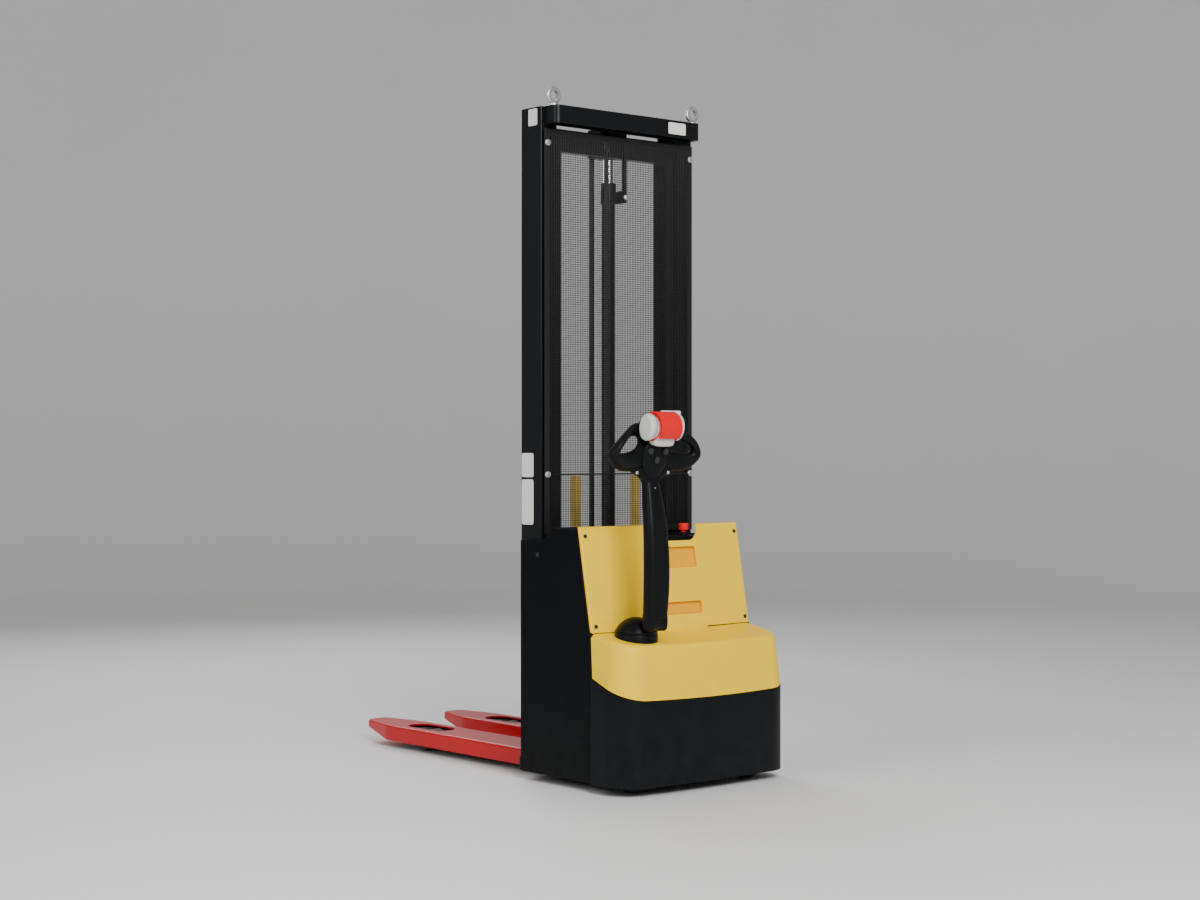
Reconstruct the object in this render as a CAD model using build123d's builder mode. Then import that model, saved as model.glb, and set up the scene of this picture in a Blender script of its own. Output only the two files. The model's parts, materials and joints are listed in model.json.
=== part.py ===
from build123d import *
import os
from math import atan, cos, radians, sin, sqrt, tan

os.makedirs("parts", exist_ok=True)

# Walk-behind pallet stacker with a two-stage mast, in millimetres.
# X points to the truck's right, Y towards the fork tips, Z up from the floor.
# The origin lies on the floor, midway along the whole truck.

# Clearances shared by all pieces
run_fit = 0.05       # radial clearance of a shaft that turns or slides in its hole
slide_gap = 0.3      # gap between faces that slide or roll past each other
seat_gap = 0.3       # gap where a bolted-on panel meets its neighbour
panel_gap = 3.0      # shadow gap between body panels
sweep_gap = 5.0      # room left around pieces that swing
over = 1.0           # how far a cutting solid reaches past the face that it cuts

# Mast: outer uprights are C channels, open towards the middle
mast_y = -359.0      # rear face of the outer uprights
mast_height = 2401.0
mast_half_width = 364.0
upright_depth = 115.0
upright_width = 74.0
upright_web = 10.0
upright_flange = 12.0
upright_edge = 5.0
mast_mid_y = mast_y + upright_depth / 2
channel_depth = upright_depth - 2 * upright_flange
web_inner_x = mast_half_width - upright_web

# Base frame that carries the mast, the legs and the drive
ground_clearance = 32.0
base_height = 48.0
foot_z = ground_clearance + base_height
panel_outer_x = 381.0
panel_thickness = 8.0
panel_inner_x = panel_outer_x - panel_thickness
panel_corner = 6.0
rail_width = 40.0
rail_setback = 28.0
floor_plate = 8.0
mast_bracket_height = 520.0

# Top crossbeam and lifting eyes
beam_half_length = 349.0
beam_depth = 68.0
beam_height = 63.0
beam_wall = 6.0
beam_corner = 22.0
beam_z = mast_height - beam_height
eye_x = 335.0
eye_bore_r = 17.5
eye_ring_width = 14.0
eye_thickness = 14.0
eye_edge_r = 6.3
eye_collar_r = 15.0
eye_collar_height = 7.0
eye_seat = 2.0       # how far the ring sinks into its collar
eye_stud_r = 8.0
eye_stud_length = 24.0

# Mesh guard on the back of the mast
guard_standoff = 8.0
guard_thickness = 4.0
guard_half_width = 356.0
guard_bottom_z = 880.0
guard_top_gap = 16.0
guard_border = 26.0
guard_strand = 5.0
guard_columns = 13
guard_rows = 23
guard_bolt_x = 344.0
guard_bolt_z = (1092.0, 2272.0)
guard_bolt_r = 4.0
guard_bolt_head_r = 12.0
guard_bolt_head_height = 7.0
guard_bolt_dome = 4.0
guard_bolt_reach = 10.0

# Lift cylinder
barrel_r = 25.0
barrel_bore_r = 20.0
barrel_top_z = 2130.0
barrel_foot_r = 28.0
barrel_foot_height = 12.0
gland_r = 28.0
gland_height = 30.0
rod_r = 18.0
piston_height = 40.0
clamp_wall = 4.5
clamp_r = barrel_r + clamp_wall
clamp_height = 44.0
strap_thickness = 12.0
strap_depth = 15.0

# Inner mast: I sections nested in the channels
inner_flange = 10.0
inner_web = 8.0
inner_web_x = 304.0
inner_half_flange = 44.0
inner_top_z = 2330.0
inner_bottom_gap = 10.0
inner_side_gap = 2.5
inner_depth = channel_depth - 2 * inner_side_gap
inner_groove = inner_depth - 2 * inner_flange
inner_bottom_z = foot_z + inner_bottom_gap
inner_front_y = mast_mid_y + inner_depth / 2
inner_rear_y = mast_mid_y - inner_depth / 2
inner_tip_x = inner_web_x - inner_half_flange
crosshead_height = 80.0
crosshead_depth = 30.0
crosshead_z = inner_top_z - crosshead_height
front_tie_inset = 2.0

# Chain and its sheave on the crosshead
chain_x = -45.0
chain_width = 18.0
chain_depth = 12.0
leaf = 2.6
leaf_gap = 0.5
leaf_pitch = 25.0
sheave_r = 41.5
sheave_flange_r = 46.0
sheave_width = 22.0
sheave_pin_r = 12.0
sheave_cheek = 15.0
sheave_rise = 40.0
sheave_side_gap = 2.0
sheave_z = crosshead_z + sheave_rise
sheave_bridge = 14.0
tie_z = 640.0
tie_height = 80.0
tie_depth = 14.0
anchor_height = 30.0

# Mast and carriage rollers
roller_width = 28.0
roller_edge = 2.0
roller_pin_r = 14.0
inner_roller_r = channel_depth / 2 - slide_gap
small_roller_r = inner_groove / 2 - slide_gap
roller_side_gap = 4.0
top_roller_drop = 110.0
carriage_roller_z = (160.0, 570.0)

# Fork carriage
barrel_gap = 5.5
carriage_bar_depth = 26.0
carriage_bar_y = mast_mid_y + barrel_r + barrel_gap
carriage_front_y = carriage_bar_y + carriage_bar_depth
carriage_plate = 12.0
carriage_plate_gap = 6.0
carriage_bottom_z = 122.0
carriage_top_z = 620.0
carriage_bar_height = 56.0
carriage_plate_depth = 84.0
carriage_plate_x = inner_tip_x - carriage_plate_gap
backrest_x = 145.0
backrest_width = 26.0
backrest_depth = 30.0
backrest_edge = 3.0
backrest_top_z = 1085.0

# Forks, inverted channels over the support legs
fork_spread = 560.0
fork_width = 181.0
fork_length = 1152.0
fork_top_z = 88.0
fork_wall = 6.0
fork_skirt_z = 28.0
heel_thickness = 24.0
heel_top_z = 610.0
fork_x = (fork_spread - fork_width) / 2
fork_face_y = carriage_front_y + heel_thickness
fork_tip_y = fork_face_y + fork_length
fork_edge_r = 9.0
tip_length = 205.0
tip_width = 96.0
tip_thickness = 24.0
tip_corner = 40.0
slot_length = 238.0
slot_width = 105.0

# Support legs and load rollers
leg_gap = 8.0
leg_top_gap = 6.0
leg_bottom_z = 28.0
leg_nose = 60.0
leg_tip_gap = 15.0
load_axle_y = mast_y + 905.0
load_roller_r = 40.0
load_roller_width = 84.0
load_roller_edge = 3.0
load_axle_r = 8.0
wheel_pocket_gap = 6.0
base_setback = 2.0
base_front_y = carriage_front_y - base_setback
leg_end_y = fork_tip_y - tip_length - leg_tip_gap
leg_half_width = fork_width / 2 - fork_wall - leg_gap
leg_top_z = fork_top_z - fork_wall - leg_top_gap

# Body covers
panel_front_y = mast_y + 95.0
panel_front_top_z = 859.0
panel_step_start_y = mast_y - 15.0
panel_step_end_y = mast_y - 102.0
hood_half_width = 379.0
hood_wall = 5.0
hood_top_z = 912.0
hood_bottom_z = 549.0
hood_top_y = mast_y - 220.0
hood_bottom_y = mast_y - 288.0
hood_side = 8.0
hood_bulge = 16.0
hood_corner = 7.0
hood_lip = 22.0
console_x = 42.0
console_half_width = 118.0
console_depth = 58.0
console_corner = 42.0
recess_half_width = 100.0
recess_depth = 14.0
recess_corner = 7.0
recess_z = ((758.0, 832.0), (594.0, 638.0))
cover_half_width = 401.0
cover_rear_y = mast_y - 491.0
cover_bulge = 19.0
cover_corner = 110.0
skirt_wall = 6.0
skirt_return = 28.0
skirt_slope = 0.37
skirt_top_z = 391.0
cover_wall = 5.0
cover_top_slope = 0.19
cover_draft = 0.111
cover_edge_r = 22.0
cover_seam = 4.0
cover_spare = 40.0   # height above the hood's foot at which the cover's top is cut to its slope
cover_reach = 120.0  # how far the cover's sides run forward before they are cut along the hood
tray_z = 846.0
tray_height = 22.0
tray_front_gap = 28.0
hood_screw_r = 7.0
hood_screw_height = 3.0
hood_screw_shank_r = 3.0
hood_screw_x = 358.0
hood_screw_z = (570.0, 880.0)
tray_floor = 8.0

# Rear deck, drive unit and castor
deck_z = 292.0
deck_thickness = 12.0
deck_front_y = mast_y - 200.0
turret_x = -253.0
turret_y = mast_y - 385.0
drive_wheel_r = 100.0
drive_wheel_width = 70.0
drive_axle_r = 20.0
axle_cap = 6.0
tyre_edge = 6.0
gear_case_gap = 6.0
gear_case_width = 40.0
gear_case_half_depth = 60.0
gear_disc_r = 90.0
gear_disc_height = 20.0
motor_r = 66.0
motor_height = 212.0
motor_edge = 8.0
slew_ring_r = 100.0
slew_ring_height = 10.0
castor_x = 253.0
castor_y = mast_y - 365.0
castor_trail = 35.0
castor_wheel_r = 65.0
castor_wheel_width = 40.0
castor_axle_r = 8.0
castor_plate_r = 50.0
castor_plate_z = 155.0
castor_plate_height = 10.0
castor_pivot_r = 12.0
castor_pivot_height = 36.0
castor_leg = 8.0
castor_leg_half_depth = 24.0
castor_post_r = 60.0

# Tiller
dome_r = 74.0
dome_height = 58.0
dome_edge = 9.0
pad_r = 66.0
neck_r = 44.0
hinge_offset = 97.0
hinge_z = 583.0
hinge_pin_r = 7.0
lug_half_width = 16.0
lug_r = 18.0
cheek_r = 22.0
cheek_half_width = 31.0
arm_sections = (  # height, distance behind the turret axis, width, depth, corner radius
    (606.0, 96.0, 62.0, 54.0, 16.0),
    (844.0, 103.0, 60.0, 52.0, 16.0),
    (1090.0, 67.0, 42.0, 36.0, 12.0),
)
head_lean = 12.0
head_half_width = 205.0
head_half_height = 78.0
head_mid_u = 95.0
head_bar = 28.0
head_half_depth = 14.0
head_edge_r = 9.0
hub_half_width = 58.0
hub_front = 26.0
hub_back = 20.0
hub_low_u = -10.0
hub_top_u = 150.0
hub_corner = 12.0
drum_u = 176.0
drum_out = 30.0
drum_r = 42.0
drum_half_width = 50.0
drum_edge = 4.0
drum_foot_half_width = 40.0
knob_gap = 2.0
knob_width = 24.0
knob_half_height = 46.0
knob_half_depth = 35.0
knob_shaft_r = 8.0
knob_edge_r = 8.0
bridge_half_width = 100.0
bridge_back = 32.0
bridge_front = 18.0
bridge_low_u = 118.0
bridge_high_u = 196.0
bridge_tie_u = 158.0
reverse_gap = 6.5
reverse_wall = 5.5
reverse_half_width = 46.0
reverse_stem_r = 7.0
reverse_arc = (-35.0, 115.0)
button_r = 11.0
button_proud = 5.0
button_pocket = 14.0
button_travel = 3.0
button_places = {"lift_button": (-34.0, 92.0), "lower_button": (34.0, 92.0), "horn_button": (0.0, 62.0)}

# The tiller's head reaches past the left side, so the middle of the overall width lies left of the mast's
centring_x = (head_half_width - turret_x - cover_half_width) / 2

# Controls on the tray
stop_x = 135.0
stop_y = mast_y - 205.0
stop_r = 18.0
stop_stem_r = 9.0
stop_height = 46.0
stop_head_height = 24.0
stop_edge = 6.0
key_x = -20.0
key_y = mast_y - 150.0
key_r = 12.0
key_proud = 6.0
key_blade = 3.0
key_blade_width = 18.0
key_blade_height = 22.0
bowl_x = (100.0, 340.0)
bowl_y = (mast_y - 150.0, mast_y - 60.0)
bowl_corner = 20.0

# Power units inside the body
case_edge = 8.0
battery_x = (-325.0, 40.0)
battery_y = (mast_y - 198.0, mast_y - 40.0)
battery_height = 320.0
tank_x = (75.0, 325.0)
tank_y = (mast_y - 190.0, mast_y - 45.0)
tank_height = 180.0
pump_motor_r = 58.0
pump_motor_height = 210.0
controller_x = (20.0, 220.0)
controller_y = (mast_y - 292.0, mast_y - 212.0)
controller_height = 62.0
controller_fins = 9
controller_fin_height = 16.0
terminal_inset = 50.0
terminal_r = 9.0
terminal_height = 18.0
pump_inset = 16.0


def span(low, high):
    """Middle of the stretch from low to high."""
    return (low + high) / 2


def block(x, y, z, mode=Mode.ADD):
    """Box between the low and high ends of x, y and z."""
    with Locations((span(*x), span(*y), span(*z))):
        Box(x[1] - x[0], y[1] - y[0], z[1] - z[0], mode=mode)


def post(x, y, z, radius, mode=Mode.ADD):
    """Upright cylinder at x, y between the low and high ends of z."""
    with Locations((x, y, span(*z))):
        Cylinder(radius, z[1] - z[0], mode=mode)


def cross_pin(x, y, z, radius, mode=Mode.ADD):
    """Cylinder along X between the low and high ends of x."""
    with Locations((span(*x), y, z)):
        Cylinder(radius, x[1] - x[0], rotation=(0, 90, 0), mode=mode)


def both_ways(low, high, side):
    """Low and high ends of a stretch of X on the right (side 1) or the left (side -1)."""
    return tuple(sorted((side * low, side * high)))


def save(piece, name):
    """Move a finished piece so that the overall width is centred, label it and write it."""
    placed = piece.part.moved(Location((centring_x, 0, 0)))
    placed.label = name
    export_step(placed, "parts/" + name + ".step")


def rear_outline(z, inset, front_y):
    """Plan of the rear covers at height z: straight sides, round corners and a bulged back."""
    half = cover_half_width - inset
    rear = cover_rear_y + inset
    with BuildSketch(Plane.XY.offset(z)) as outline:
        with BuildLine():
            Polyline((-half, rear), (-half, front_y), (half, front_y), (half, rear))
            ThreePointArc((half, rear), (0, rear - cover_bulge), (-half, rear))
        make_face()
        fillet(outline.vertices().group_by(Axis.Y)[0], cover_corner - inset)
    return outline.sketch


def slope_plane(y, z, slope):
    """Plane that passes the point y, z and rises by slope towards +Y, facing up."""
    lean = atan(slope)
    return Plane(origin=(0, y, z), x_dir=(1, 0, 0), z_dir=(0, -sin(lean), cos(lean)))


def hood_edge_y(z):
    """Y of the hood's front edge at height z."""
    share = (z - hood_bottom_z) / (hood_top_z - hood_bottom_z)
    return hood_bottom_y + share * (hood_top_y - hood_bottom_y)


def hood_outline(z, inset, front=0.0):
    """Plan of the hood at height z: short sides and a gently bulged back."""
    half = hood_half_width - inset
    edge = hood_edge_y(z)
    rear = edge - hood_side + inset
    with BuildSketch(Plane.XY.offset(z)) as outline:
        with BuildLine():
            Polyline((-half, rear), (-half, edge + front), (half, edge + front), (half, rear))
            ThreePointArc((half, rear), (0, rear - hood_bulge), (-half, rear))
        make_face()
        fillet(outline.vertices().group_by(Axis.Y)[0], max(hood_corner - inset, over))
    return outline.sketch


def hood_body(inset, low_z, high_z, front=0.0):
    """Solid behind the hood's outer face, moved in by inset, between two heights."""
    with BuildPart() as body:
        loft([hood_outline(low_z, inset, front), hood_outline(high_z, inset, front)], ruled=True)
    return body.part


skirt_top_y = hood_edge_y(skirt_top_z)


def skirt_line_z(y):
    """Height of the slanted seam between skirt and lower cover at y."""
    return skirt_top_z + skirt_slope * (y - skirt_top_y)


def cover_body(inset, edge_r):
    """Drafted solid of the lower cover, moved in by inset, with its top edge rounded."""
    low_z = ground_clearance
    high_z = hood_bottom_z + cover_spare
    low_inset = inset + (low_z - skirt_line_z(cover_rear_y)) * cover_draft
    high_inset = inset + (high_z - skirt_line_z(cover_rear_y)) * cover_draft
    with BuildPart() as body:
        front = hood_bottom_y + cover_reach
        loft([rear_outline(low_z, low_inset, front), rear_outline(high_z, high_inset, front)], ruled=True)
        split(bisect_by=slope_plane(hood_bottom_y, hood_bottom_z - inset, cover_top_slope), keep=Keep.BOTTOM)
        top = body.faces().sort_by(Axis.Z)[-1]
        rim = top.edges().sort_by(Axis.Y)[:-1]
        fillet(rim, edge_r)
    return body.part


# Base frame: mast foot beam, side rails, floor, rear deck and castor post
rail_x = panel_inner_x - rail_width
rail_rear_y = skirt_top_y + rail_setback
deck_inset = skirt_wall + seat_gap
deck_wide_y = skirt_top_y - skirt_wall - panel_gap
with BuildPart() as base_frame:
    block((-panel_inner_x, panel_inner_x), (mast_y, base_front_y), (ground_clearance, foot_z))
    for side in (-1, 1):
        block(both_ways(rail_x, panel_inner_x, side), (rail_rear_y, mast_y), (ground_clearance, foot_z))
        block(both_ways(mast_half_width, panel_inner_x, side), (mast_y + upright_flange, panel_front_y),
              (foot_z, foot_z + mast_bracket_height))
        block(both_ways(panel_inner_x - panel_thickness, panel_inner_x, side), (rail_rear_y, deck_front_y),
              (foot_z, deck_z))
    block((-rail_x, rail_x), (deck_front_y, mast_y), (foot_z - floor_plate, foot_z))
    block((-panel_inner_x + panel_thickness, panel_inner_x - panel_thickness),
          (deck_front_y - panel_thickness, deck_front_y), (foot_z - floor_plate, deck_z))
    extrude(rear_outline(deck_z, deck_inset, deck_wide_y), amount=deck_thickness)
    block((-panel_inner_x, panel_inner_x), (deck_wide_y, deck_front_y), (deck_z, deck_z + deck_thickness))
    post(castor_x, castor_y, (castor_plate_z + castor_plate_height + slide_gap, deck_z), castor_post_r)
    pivot_top_z = castor_plate_z + castor_plate_height + castor_pivot_height
    post(castor_x, castor_y, (castor_plate_z, pivot_top_z + sweep_gap), castor_pivot_r + run_fit,
         mode=Mode.SUBTRACT)
    post(turret_x, turret_y, (deck_z, deck_z + deck_thickness), motor_r + sweep_gap, mode=Mode.SUBTRACT)
save(base_frame, "base_frame")

# Black side panels with the step in their top edge
panel_rear_top_y = hood_edge_y(hood_top_z - hood_side) + panel_gap
panel_rear_low_y = skirt_top_y + panel_gap
for side, name in ((-1, "side_panel_left"), (1, "side_panel_right")):
    with BuildPart() as side_panel:
        with BuildSketch(Plane.YZ.offset(side * span(panel_inner_x, panel_outer_x))) as panel_side:
            with BuildLine():
                step_a = (panel_step_start_y, panel_front_top_z)
                step_b = (panel_step_end_y, hood_top_z - hood_side)
                Polyline(step_a, (panel_front_y, panel_front_top_z), (panel_front_y, ground_clearance),
                         (panel_rear_low_y, ground_clearance), (panel_rear_low_y, skirt_top_z),
                         (panel_rear_top_y, hood_top_z - hood_side), step_b)
                Spline(step_b, step_a, tangents=((1, 0), (1, 0)))
            make_face()
        extrude(amount=panel_thickness / 2, both=True)
        fillet(side_panel.edges().filter_by(Axis.X).sort_by(Axis.Y)[-2:], panel_corner)
    save(side_panel, name)

# Support legs with their load-roller pockets
pocket_half = load_roller_r + wheel_pocket_gap
for side, name in ((-1, "support_leg_left"), (1, "support_leg_right")):
    with BuildPart() as support_leg:
        with BuildSketch(Plane.YZ.offset(side * fork_x)):
            Polygon((base_front_y, leg_bottom_z), (base_front_y, leg_top_z),
                    (leg_end_y, leg_top_z), (leg_end_y, span(leg_bottom_z, leg_top_z)),
                    (leg_end_y - leg_nose, leg_bottom_z), align=None)
        extrude(amount=leg_half_width, both=True)
        x_mid = side * fork_x
        half = load_roller_width / 2 + wheel_pocket_gap / 2
        block((x_mid - half, x_mid + half), (load_axle_y - pocket_half, load_axle_y + pocket_half),
              (leg_bottom_z - over, leg_top_z + over), mode=Mode.SUBTRACT)
        cross_pin((x_mid - leg_half_width - over, x_mid + leg_half_width + over), load_axle_y, load_roller_r,
                  load_axle_r, mode=Mode.SUBTRACT)
    save(support_leg, name)

with BuildPart() as load_roller_axles:
    for side in (-1, 1):
        axle_x = (side * fork_x - leg_half_width, side * fork_x + leg_half_width)
        cross_pin(axle_x, load_axle_y, load_roller_r, load_axle_r)
save(load_roller_axles, "load_roller_axles")

for side, name in ((-1, "load_roller_left"), (1, "load_roller_right")):
    with BuildPart() as load_roller:
        half = load_roller_width / 2
        cross_pin((side * fork_x - half, side * fork_x + half), load_axle_y, load_roller_r, load_roller_r)
        fillet(load_roller.edges().filter_by(GeomType.CIRCLE), load_roller_edge)
        cross_pin((side * fork_x - half, side * fork_x + half), load_axle_y, load_roller_r,
                  load_axle_r + run_fit, mode=Mode.SUBTRACT)
    save(load_roller, name)

# Outer uprights
for side, name in ((-1, "outer_upright_left"), (1, "outer_upright_right")):
    with BuildPart() as outer_upright:
        outer_x = both_ways(mast_half_width - upright_width, mast_half_width, side)
        hollow_x = both_ways(mast_half_width - upright_width - over, web_inner_x, side)
        block(outer_x, (mast_y, mast_y + upright_depth), (foot_z, mast_height))
        fillet(outer_upright.edges().filter_by(Axis.Z), upright_edge)
        block(hollow_x, (mast_y + upright_flange, mast_y + upright_depth - upright_flange),
              (foot_z, mast_height), mode=Mode.SUBTRACT)
        for z in guard_bolt_z:
            with Locations((side * guard_bolt_x, mast_y + upright_flange / 2, z)):
                Cylinder(guard_bolt_r + run_fit, upright_flange, rotation=(90, 0, 0), mode=Mode.SUBTRACT)
        roller_z = mast_height - top_roller_drop
        cross_pin(both_ways(web_inner_x - roller_side_gap - roller_width, web_inner_x, side), mast_mid_y,
                  roller_z, roller_pin_r)
    save(outer_upright, name)

# Top crossbeam, open underneath
with BuildPart() as top_crossbeam:
    block((-beam_half_length, beam_half_length), (mast_y - beam_depth, mast_y), (beam_z, mast_height))
    fillet(top_crossbeam.edges().filter_by(Axis.Z).group_by(Axis.Y)[0], beam_corner)
    block((-beam_half_length + beam_corner, beam_half_length - beam_corner),
          (mast_y - beam_depth + beam_wall, mast_y - beam_wall), (beam_z, mast_height - beam_wall),
          mode=Mode.SUBTRACT)
    for side in (-1, 1):
        post(side * eye_x, mast_y - beam_depth / 2, (mast_height - eye_stud_length, mast_height), eye_stud_r,
             mode=Mode.SUBTRACT)
save(top_crossbeam, "top_crossbeam")

# Lower tie behind the uprights, with the chain anchor on its middle
inner_chain_y = mast_mid_y - sheave_r
anchor_z = tie_z + tie_height
with BuildPart() as lower_mast_tie:
    block((-beam_half_length, beam_half_length), (mast_y - tie_depth, mast_y), (tie_z, tie_z + tie_height))
    block((chain_x - chain_width, chain_x + chain_width), (mast_y, inner_chain_y + chain_depth),
          (anchor_z - anchor_height, anchor_z))
save(lower_mast_tie, "lower_mast_tie")

# Lifting eyes: a ring with a plain round hole on a collar and a stud
eye_ring_r = eye_bore_r + eye_ring_width
eye_z = mast_height + eye_collar_height + eye_ring_r - eye_seat
with BuildPart() as lifting_eyes:
    for side in (-1, 1):
        with BuildSketch(Plane.XY.offset(eye_z)) as ring_section:
            with Locations((side * eye_x + span(eye_bore_r, eye_ring_r), mast_y - beam_depth / 2)):
                Rectangle(eye_ring_width, eye_thickness)
            fillet(ring_section.vertices().group_by(Axis.X)[-1], eye_edge_r)
        revolve(axis=Axis((side * eye_x, mast_y - beam_depth / 2, eye_z), (0, 1, 0)))
        eye_y = mast_y - beam_depth / 2
        post(side * eye_x, eye_y, (mast_height, mast_height + eye_collar_height), eye_collar_r)
        post(side * eye_x, eye_y, (mast_height - eye_stud_length, mast_height), eye_stud_r)
save(lifting_eyes, "lifting_eyes")

# Mesh guard: one holed sheet on standoffs behind the uprights
guard_top_z = beam_z - guard_top_gap
guard_back_y = mast_y - guard_standoff - guard_thickness
mesh_width = 2 * (guard_half_width - guard_border)
mesh_height = guard_top_z - guard_bottom_z - guard_border
gap_width = mesh_width / guard_columns - guard_strand
gap_height = mesh_height / guard_rows - guard_strand
with BuildPart() as mesh_guard:
    with BuildSketch(Plane.XZ.offset(-guard_back_y - guard_thickness)) as sheet:
        with Locations((0, span(guard_bottom_z, guard_top_z))):
            Rectangle(2 * guard_half_width, guard_top_z - guard_bottom_z)
            with GridLocations(gap_width + guard_strand, gap_height + guard_strand, guard_columns,
                               guard_rows):
                Rectangle(gap_width, gap_height, mode=Mode.SUBTRACT)
        with Locations([(s * guard_bolt_x, z) for s in (-1, 1) for z in guard_bolt_z]):
            Circle(guard_bolt_r + run_fit, mode=Mode.SUBTRACT)
    extrude(amount=guard_thickness)
    for side in (-1, 1):
        for z in guard_bolt_z:
            with Locations((side * guard_bolt_x, mast_y - guard_standoff / 2, z)):
                Cylinder(guard_bolt_head_r, guard_standoff, rotation=(90, 0, 0))
                Cylinder(guard_bolt_r + run_fit, guard_standoff, rotation=(90, 0, 0), mode=Mode.SUBTRACT)
save(mesh_guard, "mesh_guard")

with BuildPart() as guard_bolts:
    shank = guard_standoff + guard_thickness + guard_bolt_reach
    for side in (-1, 1):
        for z in guard_bolt_z:
            with Locations((side * guard_bolt_x, guard_back_y - guard_bolt_head_height / 2, z)):
                Cylinder(guard_bolt_head_r, guard_bolt_head_height, rotation=(90, 0, 0))
            with Locations((side * guard_bolt_x, guard_back_y + shank / 2, z)):
                Cylinder(guard_bolt_r, shank, rotation=(90, 0, 0))
    fillet(guard_bolts.edges().filter_by(GeomType.CIRCLE).group_by(Axis.Y)[0], guard_bolt_dome)
save(guard_bolts, "guard_bolts")

# Lift cylinder barrel with its foot and gland
with BuildPart() as cylinder_barrel:
    post(0, mast_mid_y, (foot_z, foot_z + barrel_foot_height), barrel_foot_r)
    post(0, mast_mid_y, (foot_z, barrel_top_z), barrel_r)
    post(0, mast_mid_y, (barrel_top_z, barrel_top_z + gland_height), gland_r)
    post(0, mast_mid_y, (foot_z + barrel_foot_height, barrel_top_z), barrel_bore_r, mode=Mode.SUBTRACT)
    post(0, mast_mid_y, (barrel_top_z, barrel_top_z + gland_height), rod_r + run_fit, mode=Mode.SUBTRACT)
save(cylinder_barrel, "cylinder_barrel")

# Clamp that hangs from the crossbeam and holds the barrel's top
clamp_z = (barrel_top_z - clamp_height, barrel_top_z)
strap_x = (clamp_r - strap_thickness / 2, clamp_r + strap_thickness / 2)
strap_front_y = inner_rear_y - sweep_gap
with BuildPart() as cylinder_clamp:
    post(0, mast_mid_y, clamp_z, clamp_r)
    block(strap_x, (strap_front_y - strap_depth, mast_mid_y), clamp_z)
    block(strap_x, (strap_front_y - strap_depth, strap_front_y), (clamp_z[0], beam_z))
    post(0, mast_mid_y, clamp_z, barrel_r, mode=Mode.SUBTRACT)
save(cylinder_clamp, "cylinder_clamp")

# Inner mast: two I sections, a crosshead above the rod and a front tie at the bottom
tie_y = (carriage_bar_y + front_tie_inset, carriage_front_y - front_tie_inset)
slot_half_width = sheave_width / 2 + sheave_side_gap
slot_x = (chain_x - slot_half_width, chain_x + slot_half_width)
cheek_right_x = rod_r + sheave_cheek
notch_z = inner_bottom_z + 2 * inner_roller_r + 2 * sweep_gap
with BuildPart() as inner_mast:
    for side in (-1, 1):
        web_x = both_ways(inner_web_x - inner_web / 2, inner_web_x + inner_web / 2, side)
        flange_x = both_ways(inner_tip_x, inner_web_x + inner_half_flange, side)
        block(web_x, (inner_rear_y, inner_front_y), (inner_bottom_z, inner_top_z))
        block(flange_x, (inner_rear_y, inner_rear_y + inner_flange), (inner_bottom_z, inner_top_z))
        block(flange_x, (inner_front_y - inner_flange, inner_front_y), (inner_bottom_z, inner_top_z))
        outer_half_x = both_ways(inner_web_x + inner_web / 2, mast_half_width, side)
        block(outer_half_x, (inner_rear_y - over, inner_front_y + over), (inner_bottom_z - over, notch_z),
              mode=Mode.SUBTRACT)
        pin_x = both_ways(inner_web_x, inner_web_x + inner_web / 2 + roller_side_gap + roller_width, side)
        cross_pin(pin_x, mast_mid_y, inner_bottom_z + inner_roller_r + sweep_gap, roller_pin_r)
        tie_end_x = mast_half_width - upright_width - sweep_gap
        block(both_ways(0, tie_end_x, side), tie_y, (inner_bottom_z, carriage_bottom_z - sweep_gap))
    block((-inner_tip_x, inner_tip_x), (inner_rear_y, inner_rear_y + crosshead_depth),
          (crosshead_z, inner_top_z))
    cheek_y = (inner_rear_y, mast_mid_y + crosshead_depth)
    bridge_z = sheave_z + sheave_r + chain_depth / 2 + slide_gap
    block((slot_x[0] - sheave_cheek, cheek_right_x), cheek_y, (crosshead_z, bridge_z + sheave_bridge))
    block(slot_x, (inner_rear_y - over, mast_mid_y + sheave_flange_r + over), (crosshead_z - over, bridge_z),
          mode=Mode.SUBTRACT)
    cross_pin((slot_x[0] - sheave_cheek, slot_x[1] + sheave_cheek), mast_mid_y, sheave_z, sheave_pin_r)
save(inner_mast, "inner_mast")

# Piston rod under the crosshead
with BuildPart() as piston_rod:
    piston_z = foot_z + barrel_foot_height + sweep_gap
    post(0, mast_mid_y, (piston_z, crosshead_z), rod_r)
    post(0, mast_mid_y, (piston_z, piston_z + piston_height), barrel_bore_r - run_fit)
save(piston_rod, "piston_rod")

# Chain sheave
with BuildPart() as chain_sheave:
    sheave_x = (chain_x - sheave_width / 2, chain_x + sheave_width / 2)
    groove_x = (chain_x - chain_width / 2 - slide_gap, chain_x + chain_width / 2 + slide_gap)
    cross_pin(sheave_x, mast_mid_y, sheave_z, sheave_flange_r)
    cross_pin(groove_x, mast_mid_y, sheave_z, sheave_flange_r + over, mode=Mode.SUBTRACT)
    cross_pin(groove_x, mast_mid_y, sheave_z, sheave_r - chain_depth / 2 - slide_gap)
    cross_pin(sheave_x, mast_mid_y, sheave_z, sheave_pin_r + run_fit, mode=Mode.SUBTRACT)
save(chain_sheave, "chain_sheave")

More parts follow.
